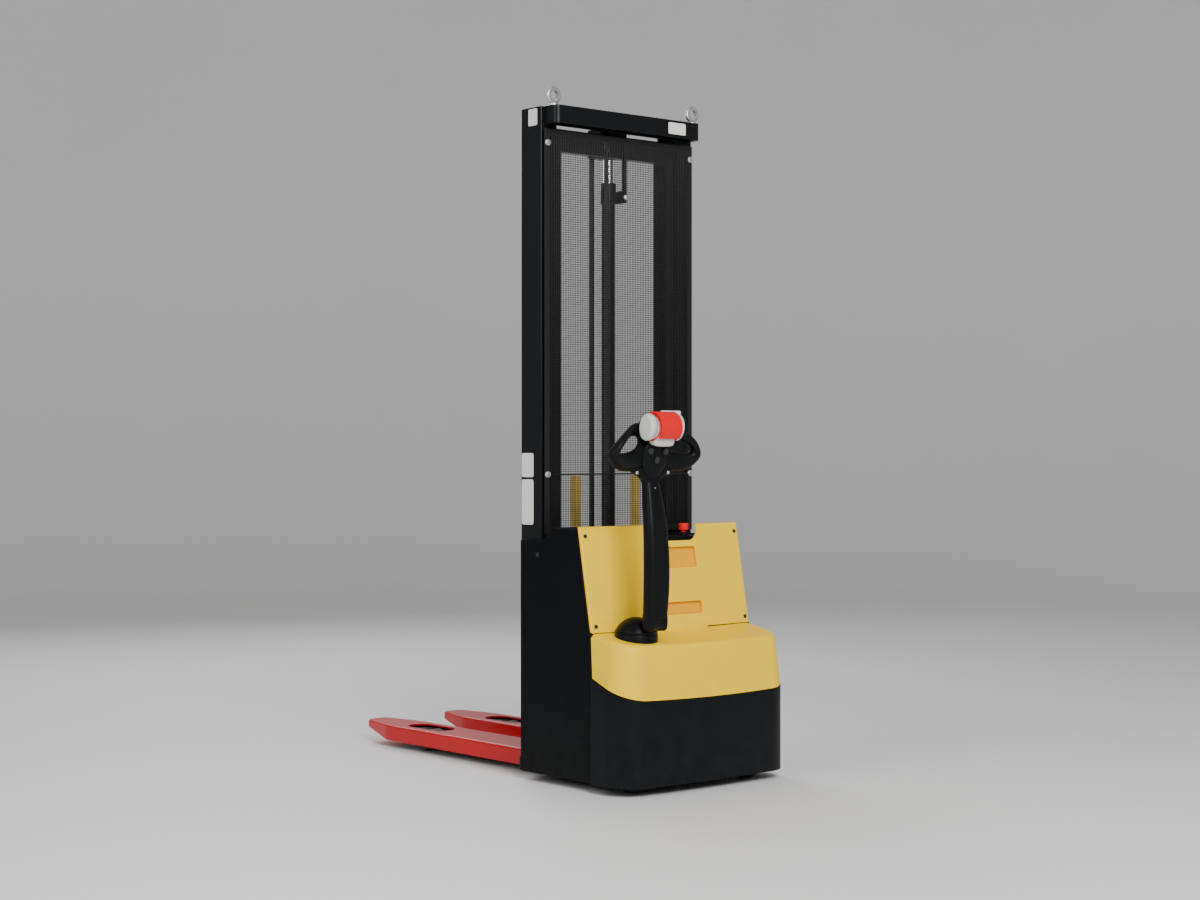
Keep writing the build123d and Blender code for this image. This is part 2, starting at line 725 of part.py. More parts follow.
# Leaf chain: the fixed run is two sets of leaves, one held at the anchor and one drawn up over the sheave
leaf_x = [chain_x + (i - 2) * (leaf + leaf_gap) for i in range(5)]
chain_side_x = (leaf_x[0] - leaf / 2, leaf_x[4] + leaf / 2)
rear_chain_y = (inner_chain_y - chain_depth / 2, inner_chain_y + chain_depth / 2)
front_chain_y = (mast_mid_y + sheave_r - chain_depth / 2, mast_mid_y + sheave_r + chain_depth / 2)
chain_foot_z = anchor_z + leaf_pitch
with BuildPart() as chain_anchored_leaves:
    block(chain_side_x, rear_chain_y, (anchor_z, chain_foot_z))
    for x in leaf_x[0::2]:
        block((x - leaf / 2, x + leaf / 2), rear_chain_y, (anchor_z, crosshead_z - sweep_gap))
save(chain_anchored_leaves, "chain_anchored_leaves")

with BuildPart() as chain_lifted_leaves:
    for x in leaf_x[1::2]:
        block((x - leaf / 2, x + leaf / 2), rear_chain_y, (chain_foot_z + slide_gap, sheave_z))
    with BuildSketch(Plane.YZ.offset(chain_x)):
        with Locations((mast_mid_y, sheave_z)):
            Circle(sheave_r + chain_depth / 2)
            Circle(sheave_r - chain_depth / 2, mode=Mode.SUBTRACT)
            Rectangle(3 * sheave_r, 3 * sheave_r, align=(Align.CENTER, Align.MAX), mode=Mode.SUBTRACT)
    extrude(amount=(chain_side_x[1] - chain_side_x[0]) / 2, both=True)
save(chain_lifted_leaves, "chain_lifted_leaves")

carriage_anchor_z = carriage_top_z + anchor_height
with BuildPart() as chain_carriage_run:
    block(chain_side_x, front_chain_y, (carriage_anchor_z + slide_gap, sheave_z))
save(chain_carriage_run, "chain_carriage_run")


def roller(x, y, z, radius):
    """Roller on an axle along X, with rounded edges and a running bore."""
    with BuildPart() as wheel:
        cross_pin(x, y, z, radius)
        fillet(wheel.edges().filter_by(GeomType.CIRCLE), roller_edge)
        cross_pin(x, y, z, roller_pin_r + run_fit, mode=Mode.SUBTRACT)
    return wheel


# Mast and carriage rollers on their stub pins
outer_roller_x = (web_inner_x - roller_side_gap - roller_width, web_inner_x - roller_side_gap)
inner_roller_start = inner_web_x + inner_web / 2 + roller_side_gap
inner_roller_x = (inner_roller_start, inner_roller_start + roller_width)
carriage_roller_x = (carriage_plate_x + roller_side_gap, carriage_plate_x + roller_side_gap + roller_width)
inner_roller_z = inner_bottom_z + inner_roller_r + sweep_gap
for side, word in ((-1, "left"), (1, "right")):
    outer_roller = roller(both_ways(*outer_roller_x, side), mast_mid_y, mast_height - top_roller_drop,
                          small_roller_r)
    save(outer_roller, "top_mast_roller_" + word)
    inner_roller = roller(both_ways(*inner_roller_x, side), mast_mid_y, inner_roller_z, inner_roller_r)
    save(inner_roller, "lower_mast_roller_" + word)
    for z, level in zip(carriage_roller_z, ("lower", "upper")):
        carriage_roller = roller(both_ways(*carriage_roller_x, side), mast_mid_y, z, small_roller_r)
        save(carriage_roller, "carriage_roller_" + level + "_" + word)

# Fork carriage with its roller pins and the chain anchor
with BuildPart() as carriage_frame:
    for z in (carriage_bottom_z, carriage_top_z - carriage_bar_height):
        block((-carriage_plate_x, carriage_plate_x), (carriage_bar_y, carriage_front_y),
              (z, z + carriage_bar_height))
    for side in (-1, 1):
        plate_y = (carriage_front_y - carriage_plate_depth, carriage_front_y)
        block(both_ways(carriage_plate_x - carriage_plate, carriage_plate_x, side), plate_y,
              (carriage_bottom_z, carriage_top_z))
        pin_x = both_ways(carriage_plate_x - carriage_plate, carriage_roller_x[1], side)
        for z in carriage_roller_z:
            cross_pin(pin_x, mast_mid_y, z, roller_pin_r)
    block((chain_x - chain_width / 2, chain_x + chain_width / 2), front_chain_y,
          (carriage_top_z, carriage_anchor_z))
save(carriage_frame, "carriage_frame")

with BuildPart() as backrest_bars:
    for side in (-1, 1):
        block(both_ways(backrest_x - backrest_width / 2, backrest_x + backrest_width / 2, side),
              (carriage_bar_y - backrest_depth, carriage_bar_y), (carriage_bottom_z, backrest_top_z))
    fillet(backrest_bars.edges().filter_by(Axis.Z), backrest_edge)
save(backrest_bars, "backrest_bars")

# Forks: inverted channels with rounded tips, a slot above the load roller and an upright heel
taper_y = fork_tip_y - tip_length
for side, name in ((-1, "fork_left"), (1, "fork_right")):
    x_mid = side * fork_x
    half = fork_width / 2
    with BuildPart() as fork:
        with BuildSketch(Plane.YZ.offset(x_mid)):
            Polygon((carriage_front_y, fork_skirt_z), (taper_y, fork_skirt_z),
                    (fork_tip_y, fork_top_z - tip_thickness), (fork_tip_y, fork_top_z),
                    (carriage_front_y, fork_top_z), align=None)
        extrude(amount=half, both=True)
        with BuildSketch(Plane.XY) as plan:
            Polygon((x_mid - half, carriage_front_y), (x_mid + half, carriage_front_y),
                    (x_mid + half, taper_y), (x_mid + tip_width / 2, fork_tip_y),
                    (x_mid - tip_width / 2, fork_tip_y), (x_mid - half, taper_y), align=None)
            fillet(plan.vertices().group_by(Axis.Y)[-1], tip_corner)
            fillet(plan.vertices().group_by(Axis.Y)[1], tip_length)
        extrude(amount=2 * fork_top_z, mode=Mode.INTERSECT)
        rim = fork.faces().sort_by(Axis.Z)[-1].edges().sort_by(Axis.Y)[1:]
        fillet(rim, fork_edge_r)
        block((x_mid - half + fork_wall, x_mid + half - fork_wall),
              (carriage_front_y, leg_end_y + sweep_gap), (0, fork_top_z - fork_wall), mode=Mode.SUBTRACT)
        with BuildSketch(Plane.XY.offset(fork_top_z)):
            with Locations((x_mid, load_axle_y)):
                SlotOverall(slot_length, slot_width, rotation=90)
        extrude(amount=-2 * fork_wall, mode=Mode.SUBTRACT)
        block((x_mid - half, x_mid + half), (carriage_front_y, fork_face_y),
              (fork_top_z - fork_wall, heel_top_z))
    save(fork, name)

# Rear skirt: a plate bent round the back, with inward returns beside the side panels
with BuildPart() as skirt:
    skirt_height = skirt_top_z - ground_clearance
    extrude(rear_outline(ground_clearance, 0, skirt_top_y), amount=skirt_height)
    extrude(rear_outline(ground_clearance, skirt_wall, skirt_top_y - skirt_wall), amount=skirt_height,
            mode=Mode.SUBTRACT)
    return_x = cover_half_width - skirt_return
    block((-return_x, return_x), (skirt_top_y - skirt_wall - over, skirt_top_y + over),
          (ground_clearance, skirt_top_z), mode=Mode.SUBTRACT)
    split(bisect_by=slope_plane(skirt_top_y, skirt_top_z, skirt_slope), keep=Keep.BOTTOM)
save(skirt, "skirt")

# Lower cover: drafted shell with a sloping top and a round pad for the tiller turret
pad_top_z = hood_bottom_z - panel_gap
hood_lean = atan((hood_top_y - hood_bottom_y) / (hood_top_z - hood_bottom_z))
cover_front = Plane(origin=(0, hood_bottom_y, hood_bottom_z), x_dir=(1, 0, 0),
                    z_dir=(0, cos(hood_lean), -sin(hood_lean)))
with BuildPart() as lower_cover:
    add(cover_body(0, cover_edge_r))
    post(turret_x, turret_y, (deck_z + deck_thickness, pad_top_z), pad_r)
    add(cover_body(cover_wall, cover_edge_r - cover_wall), mode=Mode.SUBTRACT)
    post(turret_x, turret_y, (deck_z, hood_bottom_z + over), neck_r + sweep_gap, mode=Mode.SUBTRACT)
    split(bisect_by=slope_plane(skirt_top_y, skirt_top_z + cover_seam, skirt_slope), keep=Keep.TOP)
    split(bisect_by=cover_front, keep=Keep.BOTTOM)
save(lower_cover, "lower_cover")

# Hood: slanted, gently bulged shell with a console cut-out and two shallow recesses
hood_low_z = hood_bottom_z - (hood_side + hood_bulge) * cover_top_slope
recess_x = (console_x - recess_half_width, console_x + recess_half_width)
wide_y = (hood_bottom_y - hood_side - 2 * hood_bulge, mast_y)


def recess_backing(z):
    """Thickened wall behind a recess that spans z."""
    with BuildPart() as backing:
        add(hood_body(0, hood_low_z, hood_top_z))
        add(hood_body(recess_depth + hood_wall, hood_low_z - over, hood_top_z + over, front=2 * hood_lip),
            mode=Mode.SUBTRACT)
        block((recess_x[0] - hood_wall, recess_x[1] + hood_wall), wide_y,
              (z[0] - hood_wall, z[1] + hood_wall), mode=Mode.INTERSECT)
    return backing.part


def recess_pocket(z):
    """Space of a recess that spans z, behind the hood's outer face."""
    with BuildPart() as pocket:
        block(recess_x, wide_y, z)
        fillet(pocket.edges().filter_by(Axis.Y), recess_corner)
        add(hood_body(recess_depth, hood_low_z - over, hood_top_z + over, front=mast_y - hood_bottom_y),
            mode=Mode.SUBTRACT)
    return pocket.part


def screw_seat(x, z):
    """Plane on the hood's bulged back at x and height z, facing outwards."""
    curve_r = (hood_half_width ** 2 + hood_bulge ** 2) / (2 * hood_bulge)
    across = sqrt(curve_r ** 2 - x ** 2)
    y = hood_edge_y(z) - hood_side - (across - curve_r + hood_bulge)
    return Plane(origin=(x, y, z), x_dir=(across, x, 0), z_dir=(x / across, -1, tan(hood_lean)))


screw_places = [(x, z) for x in (-hood_screw_x, hood_screw_x) for z in hood_screw_z]
with BuildPart() as hood:
    add(hood_body(0, hood_low_z, hood_top_z))
    add(hood_body(hood_wall, hood_low_z - over, hood_top_z - hood_wall, front=hood_side), mode=Mode.SUBTRACT)
    rear_face_y = hood_top_y - hood_side - hood_bulge
    block((-hood_half_width + hood_lip, hood_half_width - hood_lip),
          (rear_face_y + hood_lip + hood_wall, mast_y),
          (hood_top_z - hood_wall - over, hood_top_z + over), mode=Mode.SUBTRACT)
    for z in recess_z:
        add(recess_backing(z))
        add(recess_pocket(z), mode=Mode.SUBTRACT)
    with BuildSketch(Plane.XZ.offset(-mast_y)) as console_cut:
        with Locations((console_x, hood_top_z)):
            Rectangle(2 * console_half_width, 2 * console_depth)
        fillet(console_cut.vertices().group_by(Axis.Y)[0], console_corner)
    extrude(amount=mast_y - wide_y[0], mode=Mode.SUBTRACT)
    for x, z in screw_places:
        with BuildSketch(screw_seat(x, z).offset(hood_wall)):
            Circle(hood_screw_shank_r + run_fit)
        extrude(amount=-3 * hood_wall, mode=Mode.SUBTRACT)
    split(bisect_by=slope_plane(hood_bottom_y, hood_bottom_z + seat_gap, cover_top_slope), keep=Keep.TOP)
save(hood, "hood")

with BuildPart() as cover_screws:
    for x, z in screw_places:
        with BuildSketch(screw_seat(x, z).offset(run_fit)):
            Circle(hood_screw_r)
        extrude(amount=hood_screw_height)
        with BuildSketch(screw_seat(x, z).offset(run_fit)):
            Circle(hood_screw_shank_r)
        extrude(amount=-2 * hood_wall)
save(cover_screws, "cover_screws")

# Control tray between hood and mast, with its storage bowl
tray_rear_y = hood_edge_y(tray_z + tray_height)
tray_half_width = panel_inner_x - seat_gap
tray_top_z = tray_z + tray_height
with BuildPart() as control_tray:
    block((-tray_half_width, tray_half_width), (tray_rear_y, mast_y - tray_front_gap), (tray_z, tray_top_z))
    with BuildSketch(Plane.XY.offset(tray_top_z)) as bowl:
        with Locations((span(*bowl_x), span(*bowl_y))):
            RectangleRounded(bowl_x[1] - bowl_x[0], bowl_y[1] - bowl_y[0], bowl_corner)
    extrude(amount=tray_floor - tray_height, mode=Mode.SUBTRACT)
    post(stop_x, stop_y, (tray_z, tray_top_z), stop_stem_r + run_fit, mode=Mode.SUBTRACT)
    post(key_x, key_y, (tray_z, tray_top_z), key_r + run_fit, mode=Mode.SUBTRACT)
save(control_tray, "control_tray")

with BuildPart() as emergency_stop:
    stop_top_z = tray_top_z + stop_height
    post(stop_x, stop_y, (tray_z, stop_top_z), stop_stem_r)
    post(stop_x, stop_y, (stop_top_z - stop_head_height, stop_top_z), stop_r)
    fillet(emergency_stop.edges().filter_by(GeomType.CIRCLE).group_by(Axis.Z)[-1], stop_edge)
save(emergency_stop, "emergency_stop")

with BuildPart() as key_switch:
    key_face_z = tray_top_z + key_proud
    post(key_x, key_y, (tray_z, key_face_z), key_r)
    block((key_x - key_blade / 2, key_x + key_blade / 2),
          (key_y - key_blade_width / 2, key_y + key_blade_width / 2),
          (key_face_z, key_face_z + key_blade_height))
save(key_switch, "key_switch")

# Battery, hydraulic power pack and motor controller inside the body
with BuildPart() as battery:
    battery_top_z = foot_z + battery_height
    block(battery_x, battery_y, (foot_z, battery_top_z))
    fillet(battery.edges().filter_by(Axis.Z), case_edge)
    for x in (battery_x[0] + terminal_inset, battery_x[1] - terminal_inset):
        post(x, span(*battery_y), (battery_top_z, battery_top_z + terminal_height), terminal_r)
save(battery, "battery")

with BuildPart() as power_pack:
    tank_top_z = foot_z + tank_height
    block(tank_x, tank_y, (foot_z, tank_top_z))
    fillet(power_pack.edges().filter_by(Axis.Z), case_edge)
    post(tank_x[1] - pump_motor_r - pump_inset, span(*tank_y), (tank_top_z, tank_top_z + pump_motor_height),
         pump_motor_r)
    post(tank_x[0] + 2 * pump_inset, span(*tank_y), (tank_top_z, tank_top_z + terminal_height), pump_inset)
save(power_pack, "power_pack")

with BuildPart() as motor_controller:
    deck_top_z = deck_z + deck_thickness
    block(controller_x, controller_y, (deck_top_z, deck_top_z + controller_height))
    fin_gap = (controller_x[1] - controller_x[0]) / controller_fins
    for i in range(controller_fins):
        groove_start = controller_x[0] + i * fin_gap + fin_gap / 4
        block((groove_start, groove_start + fin_gap / 2), controller_y,
              (deck_top_z + controller_height - controller_fin_height, deck_top_z + controller_height),
              mode=Mode.SUBTRACT)
save(motor_controller, "motor_controller")

# Drive unit: slewing ring under the deck, gearbox, motor and wheel
gear_top_z = deck_z - slew_ring_height - slide_gap
case_x = (turret_x + drive_wheel_width / 2 + gear_case_gap,
          turret_x + drive_wheel_width / 2 + gear_case_gap + gear_case_width)
case_y = (turret_y - gear_case_half_depth, turret_y + gear_case_half_depth)
wheel_x = (turret_x - drive_wheel_width / 2, turret_x + drive_wheel_width / 2)
with BuildPart() as slewing_ring:
    post(turret_x, turret_y, (deck_z - slew_ring_height, deck_z), slew_ring_r)
    post(turret_x, turret_y, (deck_z - slew_ring_height, deck_z), motor_r + sweep_gap, mode=Mode.SUBTRACT)
save(slewing_ring, "slewing_ring")

with BuildPart() as drive_gearbox:
    post(turret_x, turret_y, (gear_top_z - gear_disc_height, gear_top_z), gear_disc_r)
    block(case_x, case_y, (drive_wheel_r, gear_top_z - gear_disc_height))
    cross_pin(case_x, turret_y, drive_wheel_r, gear_case_half_depth)
    block((turret_x - gear_case_half_depth, case_x[1]), case_y,
          (2 * drive_wheel_r + 2 * gear_case_gap, gear_top_z - gear_disc_height))
    cross_pin((wheel_x[0] - slide_gap, case_x[0]), turret_y, drive_wheel_r, drive_axle_r)
    cross_pin((wheel_x[0] - slide_gap - axle_cap, wheel_x[0] - slide_gap), turret_y, drive_wheel_r,
              drive_axle_r + axle_cap)
save(drive_gearbox, "drive_gearbox")

with BuildPart() as drive_wheel:
    cross_pin(wheel_x, turret_y, drive_wheel_r, drive_wheel_r)
    fillet(drive_wheel.edges().filter_by(GeomType.CIRCLE), tyre_edge)
    cross_pin(wheel_x, turret_y, drive_wheel_r, drive_axle_r + run_fit, mode=Mode.SUBTRACT)
save(drive_wheel, "drive_wheel")

with BuildPart() as drive_motor:
    motor_top_z = gear_top_z + motor_height
    post(turret_x, turret_y, (gear_top_z, motor_top_z), motor_r)
    fillet(drive_motor.edges().filter_by(GeomType.CIRCLE).group_by(Axis.Z)[-1], motor_edge)
save(drive_motor, "drive_motor")

# Steering turret: neck, dome and the lug that carries the tiller
hinge_y = turret_y - hinge_offset
dome_z = pad_top_z + slide_gap
cap_r = (dome_r ** 2 + (dome_height - dome_edge) ** 2) / (2 * (dome_height - dome_edge))
with BuildPart() as steering_turret:
    post(turret_x, turret_y, (dome_z, dome_z + dome_height), dome_r)
    with Locations((turret_x, turret_y, dome_z + dome_height - cap_r)):
        Sphere(cap_r, mode=Mode.INTERSECT)
    post(turret_x, turret_y, (motor_top_z, dome_z), neck_r)
    lug_x = (turret_x - lug_half_width, turret_x + lug_half_width)
    block(lug_x, (hinge_y, turret_y - neck_r), (hinge_z - lug_r, hinge_z + lug_r))
    cross_pin(lug_x, hinge_y, hinge_z, lug_r)
    cross_pin(lug_x, hinge_y, hinge_z, hinge_pin_r + run_fit, mode=Mode.SUBTRACT)
save(steering_turret, "steering_turret")

# Castor: swivelling fork with its axle, and the wheel
castor_axle_y = castor_y - castor_trail
fork_inner = castor_wheel_width / 2 + gear_case_gap / 2
with BuildPart() as castor_fork:
    post(castor_x, castor_y, (castor_plate_z, castor_plate_z + castor_plate_height), castor_plate_r)
    post(castor_x, castor_y, (castor_plate_z, castor_plate_z + castor_plate_height + castor_pivot_height),
         castor_pivot_r)
    for side in (-1, 1):
        leg_x = tuple(sorted((castor_x + side * fork_inner, castor_x + side * (fork_inner + castor_leg))))
        block(leg_x, (castor_axle_y - castor_leg_half_depth, castor_axle_y + castor_leg_half_depth),
              (castor_wheel_r, castor_plate_z + castor_plate_height))
        cross_pin(leg_x, castor_axle_y, castor_wheel_r, castor_leg_half_depth)
    cross_pin((castor_x - fork_inner - castor_leg, castor_x + fork_inner + castor_leg), castor_axle_y,
              castor_wheel_r, castor_axle_r)
save(castor_fork, "castor_fork")

with BuildPart() as castor_wheel:
    castor_wheel_x = (castor_x - castor_wheel_width / 2, castor_x + castor_wheel_width / 2)
    cross_pin(castor_wheel_x, castor_axle_y, castor_wheel_r, castor_wheel_r)
    fillet(castor_wheel.edges().filter_by(GeomType.CIRCLE), tyre_edge)
    cross_pin(castor_wheel_x, castor_axle_y, castor_wheel_r, castor_axle_r + run_fit, mode=Mode.SUBTRACT)
save(castor_wheel, "castor_wheel")

# Tiller arm: bowed tube on two cheeks that hold the hinge pin
arm_foot_z = arm_sections[0][0]
with BuildPart() as tiller_arm:
    for z, behind, width, depth, corner in arm_sections:
        with BuildSketch(Plane.XY.offset(z)):
            with Locations((turret_x, turret_y - behind)):
                RectangleRounded(width, depth, corner)
    loft()
    cross_pin((turret_x - cheek_half_width, turret_x + cheek_half_width), hinge_y, hinge_z, cheek_r)
    block((turret_x - cheek_half_width, turret_x + cheek_half_width), (hinge_y - cheek_r, hinge_y + cheek_r),
          (hinge_z, arm_foot_z))
    slot_half = lug_half_width + slide_gap
    slot_reach = lug_r + slide_gap
    block((turret_x - slot_half, turret_x + slot_half), (hinge_y - slot_reach, hinge_y + 2 * slot_reach),
          (hinge_z - 2 * slot_reach, hinge_z + slot_reach), mode=Mode.SUBTRACT)
    cross_pin((turret_x - slot_half, turret_x + slot_half), hinge_y, hinge_z, hinge_pin_r)
save(tiller_arm, "tiller_arm")

# Tiller head: a leaning plane holds the grip ring, its hub and the controls
lean = radians(head_lean)
arm_top_z = arm_sections[-1][0]
arm_top_y = turret_y - arm_sections[-1][1]
head_plane = Plane(origin=(turret_x, arm_top_y, arm_top_z), x_dir=(1, 0, 0),
                   z_dir=(0, -cos(lean), -sin(lean)))


def head_point(up, out):
    """Y and Z of the point up along the head and out towards the operator."""
    return (arm_top_y - up * sin(lean) - out * cos(lean), arm_top_z + up * cos(lean) - out * sin(lean))


drum_y, drum_z = head_point(drum_u, drum_out)
drum_x = (turret_x - drum_half_width, turret_x + drum_half_width)
knob_start = drum_half_width + knob_gap
knob_end = knob_start + knob_width
knob_room = knob_half_height + knob_gap
with BuildPart() as tiller_head:
    with BuildSketch(head_plane):
        with Locations((0, head_mid_u)):
            Ellipse(head_half_width, head_half_height)
            Ellipse(head_half_width - head_bar, head_half_height - head_bar, mode=Mode.SUBTRACT)
    extrude(amount=head_half_depth, both=True)
    fillet(tiller_head.edges(), head_edge_r)
    with BuildSketch(head_plane.offset(-hub_back)):
        with Locations((0, span(hub_low_u, hub_top_u))):
            RectangleRounded(2 * hub_half_width, hub_top_u - hub_low_u, hub_corner)
    extrude(amount=hub_back + hub_front)
    with BuildSketch(head_plane.offset(-bridge_back)):
        with Locations((0, span(bridge_low_u, bridge_high_u))):
            RectangleRounded(2 * bridge_half_width, bridge_high_u - bridge_low_u, hub_corner)
    extrude(amount=bridge_back - bridge_front)
    with BuildSketch(head_plane.offset(-bridge_front)):
        for side in (-1, 1):
            with Locations((side * span(knob_end + 3 * knob_gap, bridge_half_width), bridge_tie_u)):
                Rectangle(bridge_half_width - knob_end - 3 * knob_gap, head_bar)
    extrude(amount=bridge_front)
    with BuildSketch(head_plane.offset(-bridge_front)):
        with Locations((0, bridge_high_u)):
            Rectangle(2 * (knob_end + 3 * knob_gap), 2 * (bridge_high_u - head_mid_u - head_bar))
    extrude(amount=bridge_front + head_half_depth + hub_front, mode=Mode.SUBTRACT)
    with BuildSketch(head_plane.offset(-hub_back)):
        with Locations((0, span(head_mid_u, hub_top_u))):
            Rectangle(2 * (hub_half_width - hub_corner), hub_top_u - head_mid_u)
    extrude(amount=hub_back + hub_front)
    cross_pin(drum_x, drum_y, drum_z, drum_r + seat_gap, mode=Mode.SUBTRACT)
    for side in (-1, 1):
        knob_x = (turret_x + side * drum_half_width, turret_x + side * (knob_end + knob_gap))
        cross_pin(tuple(sorted(knob_x)), drum_y, drum_z, knob_room, mode=Mode.SUBTRACT)
    for x, up in button_places.values():
        with BuildSketch(head_plane.offset(hub_front)):
            with Locations((x, up)):
                Circle(button_r + run_fit)
        extrude(amount=-button_pocket, mode=Mode.SUBTRACT)
    add(tiller_arm.part, mode=Mode.SUBTRACT)
save(tiller_head, "tiller_head")

# Control drum between the knobs, seated on the bridge
stem_low = drum_out + knob_shaft_r + 2 * sweep_gap
with BuildPart() as control_drum:
    cross_pin(drum_x, drum_y, drum_z, drum_r)
    fillet(control_drum.edges().filter_by(GeomType.CIRCLE), drum_edge)
    with BuildSketch(head_plane.offset(-bridge_front)):
        with Locations((0, drum_u)):
            Rectangle(2 * drum_foot_half_width, drum_r)
    extrude(amount=bridge_front + drum_out)
    cross_pin(drum_x, drum_y, drum_z, knob_shaft_r + run_fit, mode=Mode.SUBTRACT)
    with BuildSketch(head_plane.offset(stem_low - sweep_gap - slide_gap)):
        with Locations((0, drum_u)):
            Circle(reverse_stem_r + run_fit)
    extrude(amount=drum_r, mode=Mode.SUBTRACT)
save(control_drum, "control_drum")

# Butterfly switch: two oval knobs on one shaft
with BuildPart() as butterfly_switch:
    for side in (-1, 1):
        knob_plane = Plane(origin=(turret_x + side * knob_start, drum_y, drum_z),
                           x_dir=(0, -sin(lean), cos(lean)), z_dir=(side, 0, 0))
        with BuildSketch(knob_plane):
            Ellipse(knob_half_height, knob_half_depth)
        extrude(amount=knob_width)
    fillet(butterfly_switch.edges(), knob_edge_r)
    cross_pin((turret_x - knob_end + knob_gap, turret_x + knob_end - knob_gap), drum_y, drum_z, knob_shaft_r)
save(butterfly_switch, "butterfly_switch")

# Reversing button: a curved red cap round the drum, with a guiding stem
cap_plane = Plane(origin=(turret_x, drum_y, drum_z), x_dir=(0, -cos(lean), -sin(lean)), z_dir=(-1, 0, 0))
cap_inner_r = drum_r + reverse_gap
cap_outer_r = cap_inner_r + reverse_wall
with BuildPart() as reverse_button:
    with BuildSketch(cap_plane):
        with BuildLine():
            inner_arc = CenterArc((0, 0), cap_inner_r, reverse_arc[0], reverse_arc[1] - reverse_arc[0])
            outer_arc = CenterArc((0, 0), cap_outer_r, reverse_arc[0], reverse_arc[1] - reverse_arc[0])
            Line(inner_arc @ 0, outer_arc @ 0)
            Line(inner_arc @ 1, outer_arc @ 1)
        make_face()
    extrude(amount=reverse_half_width, both=True)
    with BuildSketch(head_plane.offset(stem_low)):
        with Locations((0, drum_u)):
            Circle(reverse_stem_r)
    extrude(amount=drum_out + span(cap_inner_r, cap_outer_r) - stem_low)
save(reverse_button, "reverse_button")

# Push buttons in the hub's face
for name, (x, up) in button_places.items():
    with BuildPart() as button:
        with BuildSketch(head_plane.offset(hub_front + button_proud)):
            with Locations((x, up)):
                Circle(button_r)
        extrude(amount=button_travel + slide_gap - button_pocket - button_proud)
    save(button, name)
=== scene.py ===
import json

import bmesh
import bpy
import numpy as np
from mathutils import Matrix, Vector


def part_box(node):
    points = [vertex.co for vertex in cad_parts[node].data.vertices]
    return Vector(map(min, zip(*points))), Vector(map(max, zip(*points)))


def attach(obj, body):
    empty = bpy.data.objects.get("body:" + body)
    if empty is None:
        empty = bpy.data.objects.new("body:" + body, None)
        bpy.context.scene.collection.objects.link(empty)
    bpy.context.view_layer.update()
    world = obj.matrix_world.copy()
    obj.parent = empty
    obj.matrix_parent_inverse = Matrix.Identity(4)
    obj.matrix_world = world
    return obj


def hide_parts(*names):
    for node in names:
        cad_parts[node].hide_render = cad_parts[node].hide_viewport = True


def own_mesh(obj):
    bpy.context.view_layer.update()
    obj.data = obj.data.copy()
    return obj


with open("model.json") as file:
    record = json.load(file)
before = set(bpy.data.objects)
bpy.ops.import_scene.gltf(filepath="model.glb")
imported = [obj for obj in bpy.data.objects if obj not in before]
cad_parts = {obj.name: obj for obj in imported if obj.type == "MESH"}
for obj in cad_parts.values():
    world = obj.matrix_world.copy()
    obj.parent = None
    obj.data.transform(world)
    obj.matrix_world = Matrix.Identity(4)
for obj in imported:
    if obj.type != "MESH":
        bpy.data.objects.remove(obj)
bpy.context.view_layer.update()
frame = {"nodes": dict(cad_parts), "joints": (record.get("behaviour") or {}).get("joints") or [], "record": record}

# Walk-behind pallet stacker, in metres: X to the truck's right, Y towards the fork tips, Z up.
joints = {joint["name"]: joint for joint in frame["joints"]}


# Meshes from whole arrays of points

WELD = 1e-6
SLIVER = 1e-7
WORLD_AXES = ((1, 0, 0), (0, 1, 0), (0, 0, 1))


def grid(points, wrap_u=False, wrap_v=False):
    """Corners and quads of a surface sampled on rows (u) and columns (v); wrap joins the last to the first.
    A quad faces the way that the u direction turned into the v direction points."""
    rows, cols = points.shape[:2]
    index = np.arange(rows * cols).reshape(rows, cols)
    if wrap_u:
        index = np.vstack([index, index[:1]])
    if wrap_v:
        index = np.hstack([index, index[:, :1]])
    quads = np.stack([index[:-1, :-1], index[1:, :-1], index[1:, 1:], index[:-1, 1:]], axis=-1)
    return points.reshape(-1, 3), quads.reshape(-1, 4)


def joined(parts):
    """One list of corners and one of quads from several, with the quads' numbers moved on."""
    starts = np.cumsum([0] + [len(corners) for corners, quads in parts[:-1]])
    corners = np.concatenate([corners for corners, quads in parts])
    quads = np.concatenate([quads + start for (points, quads), start in zip(parts, starts)])
    return corners, quads


def make_piece(name, parts, finish, body, replaced=(), sharp=35.0):
    """Puts surfaces into one welded mesh, gives it a finish and lets it ride on a body."""
    corners, quads = joined(parts)
    mesh = bpy.data.meshes.new(name)
    mesh.from_pydata(corners, [], quads)
    work = bmesh.new()
    work.from_mesh(mesh)
    bmesh.ops.remove_doubles(work, verts=work.verts, dist=WELD)
    bmesh.ops.dissolve_degenerate(work, edges=work.edges, dist=SLIVER)
    work.to_mesh(mesh)
    work.free()
    mesh.shade_smooth()
    mesh.set_sharp_from_angle(angle=np.radians(sharp))
    mesh.materials.append(finish.material)
    piece = bpy.data.objects.new(name, mesh)
    bpy.context.scene.collection.objects.link(piece)
    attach(piece, body)
    if replaced:
        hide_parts(*replaced)
    return piece


def turned(count):
    """Even angles once round a circle."""
    return np.linspace(0, 2 * np.pi, count, endpoint=False)


def signed_power(value, power):
    """Value raised to a power with its sign kept; what is nearly zero counts as zero."""
    value = np.round(value, 12)
    return np.sign(value) * np.abs(value) ** power


def smooth_step(value, start, end):
    """0 up to start, 1 from end on, and 3 s squared less 2 s cubed in between."""
    share = np.clip((value - start) / (end - start), 0, 1)
    return share ** 2 * (3 - 2 * share)


def superellipse(angle, half_a, half_b, power):
    """Closed outline between an ellipse (power 2) and a rectangle (high power): each of the cosine and sine
    is raised to 2 / power with its sign kept."""
    return half_a * signed_power(np.cos(angle), 2 / power), half_b * signed_power(np.sin(angle), 2 / power)


